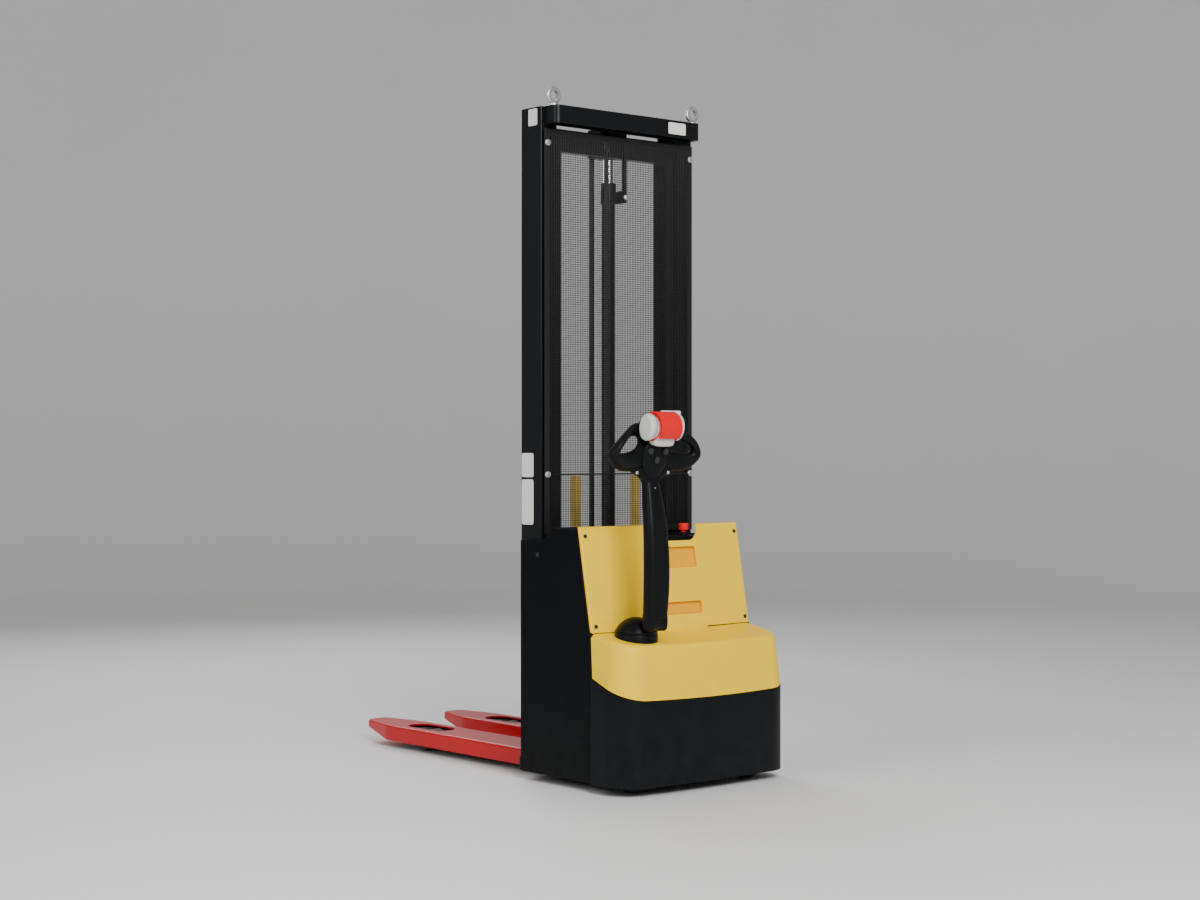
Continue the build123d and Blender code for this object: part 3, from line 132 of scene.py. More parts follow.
def pillow(centre, half, power=4.0, axes=WORLD_AXES, rounds=32, rows=17):
    """Rounded block, a superellipsoid: the half sizes along the axes times the sines and cosines of a
    longitude and a latitude, each raised to 2 / power. The poles lie on the third axis."""
    longitude = turned(rounds)[:, None]
    latitude = np.linspace(-np.pi / 2, np.pi / 2, rows)[None, :]
    level = signed_power(np.cos(latitude), 2 / power)
    first = level * signed_power(np.cos(longitude), 2 / power)
    second = level * signed_power(np.sin(longitude), 2 / power)
    third = signed_power(np.sin(latitude), 2 / power) + 0 * longitude
    local = np.stack([first, second, third], axis=-1) * np.asarray(half)
    return grid(np.asarray(centre) + local @ np.asarray(axes, float), wrap_u=True)


def hoop(centre, big_r, small_r, axes, rounds=64, sides=12):
    """Ring of round section: a circle of small_r carried round a circle of big_r in the plane of the first
    two axes."""
    round_angle = turned(rounds)[:, None]
    section = turned(sides)[None, :]
    reach = big_r + small_r * np.cos(section)
    local = np.stack([reach * np.cos(round_angle), reach * np.sin(round_angle),
                      small_r * np.sin(section) + 0 * round_angle], axis=-1)
    return grid(np.asarray(centre) + local @ np.asarray(axes, float), wrap_u=True, wrap_v=True)


def bars(starts, ends, radius, sides=6):
    """Straight round bars between pairs of points: a ring square to the bar at each end, and a pole that
    closes it."""
    along = ends - starts
    along = along / np.linalg.norm(along, axis=1, keepdims=True)
    helper = np.where(np.abs(along[:, 2:]) < 0.9, [[0.0, 0.0, 1.0]], [[1.0, 0.0, 0.0]])
    side = np.cross(along, helper)
    side = side / np.linalg.norm(side, axis=1, keepdims=True)
    other = np.cross(side, along)
    angle = turned(sides)[None, :, None]
    ring = radius * (np.cos(angle) * side[:, None] + np.sin(angle) * other[:, None])
    rows = [starts[:, None] + 0 * ring, starts[:, None] + ring,
            ends[:, None] + ring, ends[:, None] + 0 * ring]
    points = np.stack(rows, axis=1)
    corners, quads = grid(points[0], wrap_v=True)
    shift = len(corners) * np.arange(len(starts))[:, None, None]
    return points.reshape(-1, 3), (quads[None] + shift).reshape(-1, 4)


# Shader expressions

class Field:
    """A value that varies over a surface: wraps a shader socket, and arithmetic on it adds Math nodes."""

    def __init__(self, finish, socket):
        self.finish = finish
        self.socket = socket

    def math(self, operation, first, second):
        return self.finish.node("ShaderNodeMath", {"operation": operation}, {0: first, 1: second})

    def __add__(self, other):
        return self.math("ADD", self, other)

    def __radd__(self, other):
        return self.math("ADD", other, self)

    def __sub__(self, other):
        return self.math("SUBTRACT", self, other)

    def __rsub__(self, other):
        return self.math("SUBTRACT", other, self)

    def __mul__(self, other):
        return self.math("MULTIPLY", self, other)

    def __rmul__(self, other):
        return self.math("MULTIPLY", other, self)


class Finish:
    """A material made of nodes round one Principled shader."""

    def __init__(self, name, **constants):
        self.material = bpy.data.materials.new(name)
        self.material.use_nodes = True
        self.tree = self.material.node_tree
        self.shader = self.tree.nodes["Principled BSDF"]
        for socket, value in constants.items():
            self.shader.inputs[socket.replace("_", " ")].default_value = value
        self.place = self.node("ShaderNodeTexCoord", out="Object")

    def node(self, kind, settings=None, sockets=None, out=0):
        """Adds a node, sets its settings and then its sockets' values or links, and gives one output."""
        node = self.tree.nodes.new(kind)
        for key, value in (settings or {}).items():
            setattr(node, key, value)
        for key, value in (sockets or {}).items():
            if isinstance(value, Field):
                self.tree.links.new(value.socket, node.inputs[key])
            else:
                node.inputs[key].default_value = value
        return Field(self, node.outputs[out])

    def feed(self, socket, field):
        """Links a field to a socket of the shader."""
        self.tree.links.new(field.socket, self.shader.inputs[socket])

    def along(self, axis):
        """Distance from the truck's origin along an axis."""
        return self.node("ShaderNodeSeparateXYZ", None, {0: self.place}, out=axis)

    def noise(self, size, detail=2.0, stretch=(1.0, 1.0, 1.0)):
        """Cloudy value from 0 to 1 with blotches about size across, drawn out by stretch."""
        place = self.node("ShaderNodeVectorMath", {"operation": "DIVIDE"}, {0: self.place, 1: stretch})
        return self.node("ShaderNodeTexNoise", None, {"Vector": place, "Scale": 1 / size, "Detail": detail})

    def rise(self, value, start, end):
        """0 up to start, 1 from end on, and straight in between."""
        return self.node("ShaderNodeMapRange", {"clamp": True}, {0: value, 1: start, 2: end, 3: 0.0, 4: 1.0})

    def mix(self, share, low, high):
        """Colour that goes from low to high as share goes from 0 to 1."""
        return self.node("ShaderNodeMix", {"data_type": "RGBA"}, {0: share, 6: low, 7: high}, out=2)

    def soft_normal(self, radius):
        """Normal that rounds sharp edges off by radius."""
        return self.node("ShaderNodeBevel", {"samples": 4}, {"Radius": radius})

    def edge(self, soft):
        """How far the rounded normal turns away from the face: 0 on flats, up to about 0.3 on edges."""
        flat = self.node("ShaderNodeNewGeometry", out="Normal")
        alike = self.node("ShaderNodeVectorMath", {"operation": "DOT_PRODUCT"}, {0: soft, 1: flat},
                          out="Value")
        return 1.0 - alike

    def bump(self, height, depth, normal):
        """Feeds the shader a normal that is raised by height times depth."""
        self.feed("Normal", self.node("ShaderNodeBump", None, {
            "Strength": 1.0, "Distance": depth, "Height": height, "Normal": normal}))


def shade(colour, factor):
    """Colour made darker or lighter by a factor, with full alpha."""
    return (*(min(part * factor, 1.0) for part in colour[:3]), 1.0)


# Finishes

DUST = (0.30, 0.28, 0.25, 1.0)


def enamel(name, colour, rough, gloss=0.3, peel=0.00003, worn=(0.30, 0.30, 0.31), wear=0.4, dust=0.1,
           coat=0.1, edge=0.0015):
    """Sprayed paint: cloudy tone, orange-peel bump, dust near the floor, fine scuffs and worn edges."""
    finish = Finish(name, Coat_Roughness=0.18, Specular_IOR_Level=gloss)
    cloud = finish.noise(0.3, 3.0)
    peel_height = finish.noise(0.0022, 1.0)
    scuff = finish.rise(finish.noise(0.012, 5.0, (1.0, 1.0, 7.0)), 0.68, 0.80)
    soft = finish.soft_normal(edge)
    rubbed = finish.rise(finish.edge(soft), 0.02, 0.12)
    rubbed = rubbed * finish.rise(finish.noise(0.02, 4.0), 0.45, 0.65) * wear
    low = finish.rise(finish.along("Z"), 0.4, 0.0) * finish.rise(finish.noise(0.05, 4.0), 0.3, 0.75) * dust
    tone = finish.mix(cloud, shade(colour, 0.9), shade(colour, 1.1))
    tone = finish.mix(scuff * 0.12, tone, shade(colour, 2.2))
    tone = finish.mix(low, tone, DUST)
    tone = finish.mix(rubbed, tone, (*worn, 1.0))
    finish.feed("Base Color", tone)
    finish.feed("Roughness", rough + 0.10 * cloud + 0.16 * scuff + 0.3 * low)
    finish.feed("Coat Weight", coat - coat * scuff)
    finish.bump(peel_height, peel, soft)
    return finish


HOOD_TOP = np.array([-0.579, 0.912])
HOOD_FOOT = np.array([-0.647, 0.549])
HOOD_HALF = 0.379
HOOD_SIDE = 0.008
HOOD_BULGE = 0.016
# Painted shade: a deeper orange colour for the inside of the hood's recesses.
POCKET_SHADE = (0.78, 0.33, 0.004)
POCKET_SHARE = 0.8
POCKET_DEPTH = (0.002, 0.007)
hood_low, hood_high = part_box("hood")
hood_mid_x = (hood_low.x + hood_high.x) / 2
hood_lean = (HOOD_TOP[0] - HOOD_FOOT[0]) / (HOOD_TOP[1] - HOOD_FOOT[1])


def hood_pocket_shade(finish):
    """Share of painted shade that goes from 0 on the hood's back to the pockets' share inside them: it grows with
    the distance in front of the back, a leaning plane with a bulge that falls off with the square of x."""
    x = finish.along("X")
    y = finish.along("Y")
    across = (x - hood_mid_x) * (1 / HOOD_HALF)
    plane = HOOD_FOOT[0] - HOOD_SIDE + hood_lean * (finish.along("Z") - HOOD_FOOT[1])
    depth = y - plane + HOOD_BULGE * (1.0 - across * across)
    return POCKET_SHARE * finish.rise(depth, *POCKET_DEPTH)


def moulding(name, colour, rough, gloss=0.3, grain=0.0012, depth=0.00003, grime=0.15, coat=0.05, edge=0.002,
             worn=1.25, pocket=None):
    """Moulded plastic: fine leather-like grain, slight flow marks, grime near the floor, paler edges and painted
    shade, a deeper orange tone, in pockets."""
    finish = Finish(name, Coat_Roughness=0.2, Specular_IOR_Level=gloss)
    flow = finish.noise(0.22, 2.0, (1.0, 1.0, 3.0))
    cells = finish.node("ShaderNodeTexVoronoi", {"feature": "SMOOTH_F1"},
                        {"Vector": finish.place, "Scale": 1 / grain})
    soft = finish.soft_normal(edge)
    rubbed = finish.rise(finish.edge(soft), 0.02, 0.15) * 0.5
    low = finish.rise(finish.along("Z"), 0.62, 0.25) * finish.rise(finish.noise(0.04, 4.0), 0.35, 0.8) * grime
    scratch = finish.rise(finish.noise(0.006, 3.0, (14.0, 1.0, 1.0)), 0.70, 0.80)
    tone = finish.mix(flow, shade(colour, 0.95), shade(colour, 1.05))
    tone = finish.mix(low, tone, shade(colour, 0.6))
    tone = finish.mix(rubbed, tone, shade(colour, worn))
    # Painted shade: the pockets are mixed towards a deeper orange.
    if pocket:
        tone = finish.mix(pocket(finish), tone, (*POCKET_SHADE, 1.0))
    finish.feed("Base Color", tone)
    finish.feed("Roughness", rough + 0.08 * flow + 0.12 * scratch + 0.2 * low)
    finish.feed("Coat Weight", coat - coat * 0.6 * scratch)
    finish.bump(cells, depth, soft)
    return finish


def metal(name, colour, rough, brushed=(1.0, 1.0, 1.0), stain=0.4, edge=0.001):
    """Bare or plated metal: drawn-out brush marks, dull stains and bright edges."""
    finish = Finish(name)
    marks = finish.noise(0.002, 4.0, brushed)
    cloud = finish.noise(0.03, 4.0)
    soft = finish.soft_normal(edge)
    dull = finish.rise(cloud, 0.45, 0.75) * stain
    tone = finish.mix(marks, shade(colour, 0.85), shade(colour, 1.1))
    tone = finish.mix(dull, tone, shade(colour, 0.45))
    finish.feed("Base Color", tone)
    finish.feed("Metallic", 1.0 - 0.25 * dull)
    finish.feed("Roughness", rough + 0.12 * marks + 0.25 * dull)
    finish.bump(marks, 0.00002, soft)
    return finish


def tyre(name, colour, rough):
    """Cast tyre: matt, dusty, with fine marks round the tread."""
    finish = Finish(name)
    dust = finish.rise(finish.noise(0.012, 5.0), 0.4, 0.75)
    rubbed = finish.noise(0.003, 3.0, (0.5, 4.0, 4.0))
    finish.feed("Base Color", finish.mix(dust * 0.5, shade(colour, 0.9), shade(colour, 1.0)))
    finish.feed("Roughness", rough + 0.2 * dust)
    finish.bump(rubbed, 0.0001, finish.soft_normal(0.002))
    return finish


BLACK = (0.0032, 0.0040, 0.0048)
SLATE = (0.0052, 0.0066, 0.0080)
SHELL_BLACK = (0.004, 0.0045, 0.005)
WIRE_BLACK = (0.006, 0.006, 0.0065)
YELLOW = (0.97, 0.62, 0.001)
BAR_YELLOW = (0.97, 0.66, 0.14)
RED = (0.52, 0.001, 0.006)
CAP_RED = (0.72, 0.003, 0.006)
MOTOR_GREY = (0.06, 0.065, 0.07)
BUTTON_GREY = (0.022, 0.023, 0.024)
KNOB_GREY = (0.60, 0.60, 0.59)
PLATE_WHITE = (0.74, 0.73, 0.70)

black_paint = enamel("black_mast_paint", BLACK, 0.30, gloss=0.16, dust=0.02, wear=0.3, coat=0.06)
panel_paint = enamel("black_panel_paint", BLACK, 0.30, gloss=0.05, dust=0.02, wear=0.3, coat=0.02)
skirt_paint = enamel("slate_skirt_paint", SLATE, 0.34, gloss=0.07, dust=0.02, wear=0.3, coat=0.03)
fork_paint = enamel("red_fork_paint", RED, 0.24, gloss=0.2, wear=0.5, dust=0.0, coat=0.15)
bar_paint = enamel("yellow_bar_paint", BAR_YELLOW, 0.35, gloss=0.3, wear=0.3, dust=0.0)
motor_paint = enamel("grey_motor_paint", MOTOR_GREY, 0.45)
yellow_shell = moulding("yellow_shell", YELLOW, 0.36, gloss=0.15, worn=1.03)
hood_shell = moulding("hood_shell", YELLOW, 0.36, gloss=0.15, worn=1.03, pocket=hood_pocket_shade)
black_shell = moulding("black_shell", SHELL_BLACK, 0.36, gloss=0.1, depth=0.00005, coat=0.03, worn=2.0)
dark_button = moulding("dark_button", BUTTON_GREY, 0.42, worn=1.8)
grey_knob = moulding("grey_knob", KNOB_GREY, 0.38)
red_cap = moulding("red_cap", CAP_RED, 0.30, gloss=0.2)
zinc = metal("zinc_plate", (0.62, 0.63, 0.64), 0.30, stain=0.3)
steel = metal("bare_steel", (0.42, 0.42, 0.42), 0.34, stain=0.5)
dark_steel = metal("blackened_steel", (0.06, 0.06, 0.06), 0.42, stain=0.5)
chrome = metal("chromed_rod", (0.75, 0.76, 0.78), 0.08, (1.0, 1.0, 20.0), stain=0.1)
chain_steel = metal("oiled_chain", (0.12, 0.115, 0.11), 0.36, stain=0.6)
white_tyre = tyre("white_tyre", (0.62, 0.60, 0.55), 0.5)
black_tyre = tyre("black_tyre", (0.02, 0.02, 0.021), 0.6)
# Painted shade: the load rollers are coloured near black for the shade under the forks, though their tyres are
# pale.
shaded_roller_tyre = tyre("dark_roller_tyre", (0.055, 0.045, 0.038), 0.5)
wire_coat = enamel("black_wire_coat", WIRE_BLACK, 0.42, dust=0.0, wear=0.0, edge=0.0003)
blank_plate = enamel("pale_blank_plate", PLATE_WHITE, 0.4, wear=0.0, dust=0.0, edge=0.0003)

SLOT_FINISH = {
    "yellow_paint": bar_paint, "black_paint": black_paint, "dark_paint": skirt_paint,
    "red_paint": fork_paint, "motor_paint": motor_paint,
    "zinc": zinc, "steel": steel, "chrome": chrome, "chain_steel": chain_steel,
    "yellow_plastic": yellow_shell, "black_plastic": black_shell, "grey_plastic": grey_knob,
    "red_plastic": red_cap, "white_tyre": white_tyre, "black_tyre": black_tyre,
}
NODE_FINISH = {
    "side_panel_left": panel_paint, "side_panel_right": panel_paint,
    "hood": hood_shell, "cover_screws": dark_steel,
    "lift_button": dark_button, "lower_button": dark_button, "horn_button": dark_button,
    "load_roller_left": shaded_roller_tyre, "load_roller_right": shaded_roller_tyre,
}
for row in frame["record"]["subparts"]:
    node = frame["nodes"][row["node"]]
    node.data.materials.clear()
    node.data.materials.append(NODE_FINISH.get(row["node"], SLOT_FINISH[row["material_slot"]]).material)


# Mesh guard: welded wires inside a flat frame

WIRE_PITCH = 0.008
WIRE_R = 0.0010
WIRE_PRESS = 0.9
GUARD_BORDER = 0.022
GUARD_SHEET = 0.004
BORDER_POWER = 7.0
ROD_R = 0.0028
BOLT_HEAD_R = 0.012
guard_low, guard_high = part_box("mesh_guard")
wire_y = guard_low.y + GUARD_SHEET / 2
overlap = GUARD_BORDER / 2


def mitred_frame(low_x, high_x, low_z, high_z, mid_y, width, thickness):
    """Flat frame with mitred corners: a rounded bar section carried round four corners, where each point
    moves in from the corner along both sides by its share of the width."""
    across, deep = superellipse(turned(20), width / 2, thickness / 2, BORDER_POWER)
    inward = across + width / 2
    corner_x = np.array([low_x, high_x, high_x, low_x])[:, None]
    corner_z = np.array([low_z, low_z, high_z, high_z])[:, None]
    sign_x = np.array([1, -1, -1, 1])[:, None]
    sign_z = np.array([1, 1, -1, -1])[:, None]
    points = np.stack([corner_x + sign_x * inward, mid_y + deep + 0 * corner_x,
                       corner_z + sign_z * inward], axis=-1)
    return grid(points, wrap_u=True, wrap_v=True)


def wires(first, second, swap, y):
    """Straight wires at even places (first) between two ends (second), upright or, where swap is set,
    level."""
    ends = [np.stack([first, 0 * first + end], axis=1) for end in second]
    order = [1, 0] if swap else [0, 1]
    places = [np.insert(end[:, order], 1, y, axis=1) for end in ends]
    return bars(places[0], places[1], WIRE_R)


wire_x = np.arange(guard_low.x + GUARD_BORDER, guard_high.x - GUARD_BORDER, WIRE_PITCH)
wire_z = np.arange(guard_low.z + GUARD_BORDER, guard_high.z - GUARD_BORDER, WIRE_PITCH)
side_ends = (guard_low.x + overlap, guard_high.x - overlap)
height_ends = (guard_low.z + overlap, guard_high.z - overlap)
upright_wires = wires(wire_x, height_ends, False, wire_y - WIRE_PRESS * WIRE_R)
level_wires = wires(wire_z, side_ends, True, wire_y + WIRE_PRESS * WIRE_R)
guard_border = mitred_frame(guard_low.x, guard_high.x, guard_low.z, guard_high.z, wire_y, GUARD_BORDER,
                            GUARD_SHEET)
rod_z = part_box("guard_bolts")[0].z + BOLT_HEAD_R
rod_ends = [np.array([[x, wire_y, rod_z]]) for x in side_ends]
guard_rod = bars(*rod_ends, ROD_R, sides=12)
make_piece("wire_guard", [upright_wires, level_wires, guard_rod, guard_border], wire_coat, "chassis",
           ["mesh_guard"])


# Leaf chain: scalloped leaves with pin heads, over the sheave

LEAF = 0.0026
LEAF_STEP = 0.0031
LEAF_ROWS = 8
LINK = 0.025
CHAIN_DEPTH = 0.012
WAIST = 0.3
PIN_R = 0.0036
PIN_PROUD = 0.0007
PIN_FROM_END = 0.3
ANCHOR_HALF_X = 0.0078
ANCHOR_POWER = 8.0
anchored_low, anchored_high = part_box("chain_anchored_leaves")
lifted_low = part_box("chain_lifted_leaves")[0]
run_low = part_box("chain_carriage_run")[0]
sheave_x, sheave_y, sheave_z = joints["sheave_spin"]["pos_m"]
rear_y = (anchored_low.y + anchored_high.y) / 2
wrap_r = sheave_y - rear_y
leaf_places = sheave_x + LEAF_STEP * np.arange(-2, 3)


def chain_path(distance):
    """Place and outward direction of the chain's middle line in the YZ plane: up the rear run to the sheave's
    height, half a turn over the sheave, then down the front run. Distance is measured from the sheave's
    height on the rear side, and is negative below it."""
    half_turn = np.pi * wrap_r
    angle = np.clip(distance / wrap_r, 0, np.pi)
    outward = np.stack([-np.cos(angle), np.sin(angle)], axis=-1)
    straight = np.where(distance < 0, distance, np.where(distance > half_turn, half_turn - distance, 0.0))
    place = np.array([sheave_y, sheave_z]) + wrap_r * outward
    place[:, 1] += straight
    return place, outward


def chain_leaf(x, start, end):
    """Flat leaf along the chain's path: its half depth is largest at each pin and drops by the waist's share
    times the squared sine of pi times the distance in links, with a pole at each end."""
    distance = np.linspace(start, end, 2 + int(np.ceil((end - start) / LINK * LEAF_ROWS)))
    place, outward = chain_path(distance)
    half_depth = CHAIN_DEPTH / 2 * (1 - WAIST * np.sin(np.pi * distance / LINK) ** 2)
    across = x + LEAF / 2 * np.array([1, 1, -1, -1])
    depth = half_depth[:, None] * np.array([-1, 1, 1, -1])
    points = np.stack([across + 0 * depth, place[:, :1] + depth * outward[:, :1],
                       place[:, 1:] + depth * outward[:, 1:]], axis=-1)
    closing = points.mean(axis=1, keepdims=True) + 0 * points
    return grid(np.concatenate([closing[:1], points, closing[-1:]]), wrap_v=True)


def pin_heads(start, end, side_x):
    """Short round heads on one side of the chain at every link."""
    first = np.ceil(start / LINK + PIN_FROM_END)
    last = np.floor(end / LINK - PIN_FROM_END)
    place = chain_path(LINK * np.arange(first, last + 1))[0]
    inner = np.insert(place, 0, side_x, axis=1)
    outer = np.insert(place, 0, side_x + np.sign(side_x - sheave_x) * PIN_PROUD, axis=1)
    return bars(inner, outer, PIN_R, sides=8)


def chain_leaves(places, start, end):
    """Leaves at several places across, between two distances, with pin heads on the outer sides."""
    sides = (places.min() - LEAF / 2, places.max() + LEAF / 2)
    return [chain_leaf(x, start, end) for x in places] + [pin_heads(start, end, side) for side in sides]


over_sheave = np.pi * wrap_r
run_length = sheave_z - run_low.z
held = chain_leaves(leaf_places[0::2], anchored_low.z - sheave_z, anchored_high.z - sheave_z)
held_foot = pillow((sheave_x, rear_y, anchored_low.z + LINK / 2), (ANCHOR_HALF_X, CHAIN_DEPTH / 2, LINK / 2),
                   ANCHOR_POWER)
drawn = [chain_leaf(x, lifted_low.z - sheave_z, over_sheave) for x in leaf_places[1::2]]
wrapped = chain_leaves(leaf_places[0::2], 0.0, over_sheave)
front = chain_leaves(leaf_places, over_sheave, over_sheave + run_length)
make_piece("chain_held_leaves", held + [held_foot], chain_steel, "chassis",
           ["chain_anchored_leaves"])
make_piece("chain_drawn_leaves", drawn + wrapped, chain_steel, "inner_mast_body",
           ["chain_lifted_leaves"])
front_run = make_piece("chain_front_run", front, chain_steel, "inner_mast_body",
                       ["chain_carriage_run"])
lift_range = joints["carriage_lift"]["range_m"][1]
(run_length - lift_range) / run_length
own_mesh(front_run)


# Tiller head, in its own directions: x across, u up along the head, w out towards the driver

HEAD_LEAN = np.radians(12.0)
DRUM_U = 0.176
DRUM_W = 0.030
across_dir = np.array([1.0, 0.0, 0.0])
up_dir = np.array([0.0, -np.sin(HEAD_LEAN), np.cos(HEAD_LEAN)])
out_dir = np.array([0.0, -np.cos(HEAD_LEAN), -np.sin(HEAD_LEAN)])
head_axes = np.array([across_dir, up_dir, out_dir])
drum_place = np.array(joints["butterfly_turn"]["pos_m"])
head_start = drum_place - DRUM_U * up_dir - DRUM_W * out_dir


def head_points(x, u, w):
    """Places in the truck's frame of points given in the head's directions."""
    local = np.stack(np.broadcast_arrays(x, u, w), axis=-1)
    return head_start + local @ head_axes


# Grip loops

RIM_MID = np.array([0.1030, 0.093])
RIM_HALF = (0.1005, 0.077)
OPEN_MID = np.array([0.1120, 0.108])
OPEN_HALF = (0.0540, 0.024)
LOOP_POWER = 2.2
LOOP_SECTION_POWER = 2.4
LOOP_DEPTH = 0.0125
LOOP_END_DEPTH = 0.0075
LOOP_FOOT_DEPTH = 0.0045
LOOP_OUT = 0.014
LOOP_LEAN = 0.10
LOOP_DROP = 0.33
DROP_U = (0.040, 0.140)
BEHIND_DRUM = -0.025
BEHIND_U = (0.070, 0.130)
SCOOP_W = -0.004
CENTRE_X = (0.066, 0.185)


def loop_out(x, u):
    """How far the grip loops stand out: they lean out with height at the sides, run behind the drum at the
    top and into the scoop at the foot."""
    side = smooth_step(np.abs(x), *CENTRE_X)
    middle = SCOOP_W + (BEHIND_DRUM - SCOOP_W) * smooth_step(u, *BEHIND_U)
    return side * (LOOP_OUT + LOOP_LEAN * (u - RIM_MID[1])) + (1 - side) * middle


def loop_drop(x, u):
    """How far the loops' upper bars come down towards the sides."""
    return LOOP_DROP * (np.abs(x) - RIM_MID[0]) * smooth_step(u, *DROP_U)


def grip_loop(side):
    """Loop on one side: for each angle an oval section between a point of the opening's outline and the point
    of the rim's outline at the same angle. The section is deepest at the outer end and below."""
    angle = turned(96)[::side, None]
    opening = OPEN_MID + np.stack(superellipse(angle, *OPEN_HALF, LOOP_POWER), axis=-1)
    rim = RIM_MID + np.stack(superellipse(angle, *RIM_HALF, LOOP_POWER), axis=-1)
    reach, depth = superellipse(turned(28)[None, :], 0.5, 1.0, LOOP_SECTION_POWER)
    flat = opening + (rim - opening) * (0.5 + reach)[..., None]
    x, u = flat[..., 0], flat[..., 1]
    at_end = np.clip(np.cos(angle), 0, 1)
    at_foot = np.clip(-np.sin(angle), 0, 1)
    half_depth = LOOP_DEPTH + LOOP_END_DEPTH * at_end + LOOP_FOOT_DEPTH * at_foot
    return grid(head_points(side * x, u - loop_drop(x, u), loop_out(x, u) + half_depth * depth),
                wrap_u=True, wrap_v=True)


# Scoop from the arm to the loops, hub with the buttons, and cowl behind the drum

FOOT_HALF = (0.191, 0.064)
FOOT_MID_U = 0.095
FOOT_POWER = 2.3
SCOOP_FOOT_U = -0.030
SCOOP_X = (0.0245, 0.142)
SCOOP_DEPTH = (0.0222, 0.0165)
SCOOP_SWELL = 0.0035
SCOOP_POWER = (5.0, 2.2)
SCOOP_FLARE = 2.2
ARM_SLANT = 0.34
HUB_W = (-0.020, 0.026)
HUB_U = (-0.015, 0.148)
HUB_FOOT_X = 0.030
HUB_BUTTONS_X = 0.028
HUB_BUTTONS_U = 0.055
HUB_KNOBS_X = 0.011
HUB_KNOBS_U = (0.098, 0.124)
HUB_POWER = 4.0
HUB_END_POWER = 0.3
COWL_PLACE = (0.0, 0.163, -0.026)
COWL_HALF = (0.062, 0.030, 0.0085)
COWL_POWER = 3.0


def loop_foot(x):
    """Height of the line inside the loops' lower half at x where the scoop ends: the lower arc of a
    superellipse."""
    across = np.minimum(np.abs(x) / FOOT_HALF[0], 1)
    return FOOT_MID_U - FOOT_HALF[1] * (1 - across ** FOOT_POWER) ** (1 / FOOT_POWER)


def scoop_points(v, angle):
    """Point of the scoop at v from foot (0) to loops (1): a superellipse round the arm at the foot, nearer an
    oval further up, deepest half way by a sine, whose half width grows with a power of v and whose upper edge
    bends, with v squared, from level to the line inside the loops."""
    power = SCOOP_POWER[0] + (SCOOP_POWER[1] - SCOOP_POWER[0]) * v
    half_depth = SCOOP_DEPTH[0] + (SCOOP_DEPTH[1] - SCOOP_DEPTH[0]) * v + SCOOP_SWELL * np.sin(np.pi * v)
    across, deep = superellipse(angle, SCOOP_X[0] + SCOOP_X[1] * v ** SCOOP_FLARE, half_depth, power)
    u = SCOOP_FOOT_U + v * (loop_foot(0) - SCOOP_FOOT_U) + v ** 2 * (loop_foot(across) - loop_foot(0))
    return across, u, v ** 2 * loop_out(across, loop_foot(across)) - ARM_SLANT * np.minimum(u, 0) + deep


def scoop():
    """Scoop from the arm's top to the grip loops, closed at the foot by a pole and at the top along a
    line."""
    v = np.concatenate([[0.0], np.linspace(0, 1, 28), [1.0]])[:, None]
    x, u, w = scoop_points(v, turned(56)[None, :])
    x[0], w[0] = 0.0, 0.0
    w[-1] = loop_out(x[-1], u[-1])
    return grid(head_points(x, u, w), wrap_v=True)


def hub():
    """Middle of the head: a superellipse section carried up, narrow at the foot, wide at the buttons and
    narrower again between the knobs, with rounded ends."""
    share = np.linspace(-np.pi / 2, np.pi / 2, 44)[:, None]
    u = np.mean(HUB_U) + (HUB_U[1] - HUB_U[0]) / 2 * np.sin(share)
    swell = HUB_FOOT_X + HUB_BUTTONS_X * smooth_step(u, HUB_U[0], HUB_BUTTONS_U)
    swell = swell - HUB_KNOBS_X * smooth_step(u, *HUB_KNOBS_U)
    end = signed_power(np.cos(share), HUB_END_POWER)
    x, w = superellipse(turned(48)[None, :], 1.0, (HUB_W[1] - HUB_W[0]) / 2, HUB_POWER)
    return grid(head_points(swell * end * x, u, np.mean(HUB_W) + end * w), wrap_v=True)


cowl = pillow(head_points(*COWL_PLACE), COWL_HALF, COWL_POWER, head_axes, rounds=48)
make_piece("grip_head", [grip_loop(-1), grip_loop(1), scoop(), hub(), cowl], black_shell, "tiller_body",
           ["tiller_head"], sharp=50.0)


# Arm cover with its cheeks at the hinge

ARM_HEIGHTS = (0.606, 0.844, 1.090)
ARM_BEHIND = (0.096, 0.103, 0.067)
ARM_HALF_WIDTH = (0.041, 0.045, 0.0265)
ARM_HALF_DEPTH = (0.0292, 0.0284, 0.0202)
ARM_POWER = 3.4
ARM_FOOT = 0.603
ARM_TOP = 1.072
ARM_END = 0.006
ARM_END_DRAW = 0.90
ARM_STRAIGHT = 0.008
CHEEK_X = 0.0290
CHEEK_UP = 0.014
CHEEK_HALF = (0.0270, 0.0365, 0.0117)
CHEEK_POWER = 3.2
SIDE_AXES = ((0, 1, 0), (0, 0, 1), (1, 0, 0))
turret_x, turret_y = joints["steer"]["pos_m"][:2]
hinge = np.array(joints["tiller_tilt"]["pos_m"])


def arm_curve(values, z):
    """Quadratic curve over the height through the arm's three sections."""
    return np.polyval(np.polyfit(ARM_HEIGHTS, values, 2), z)


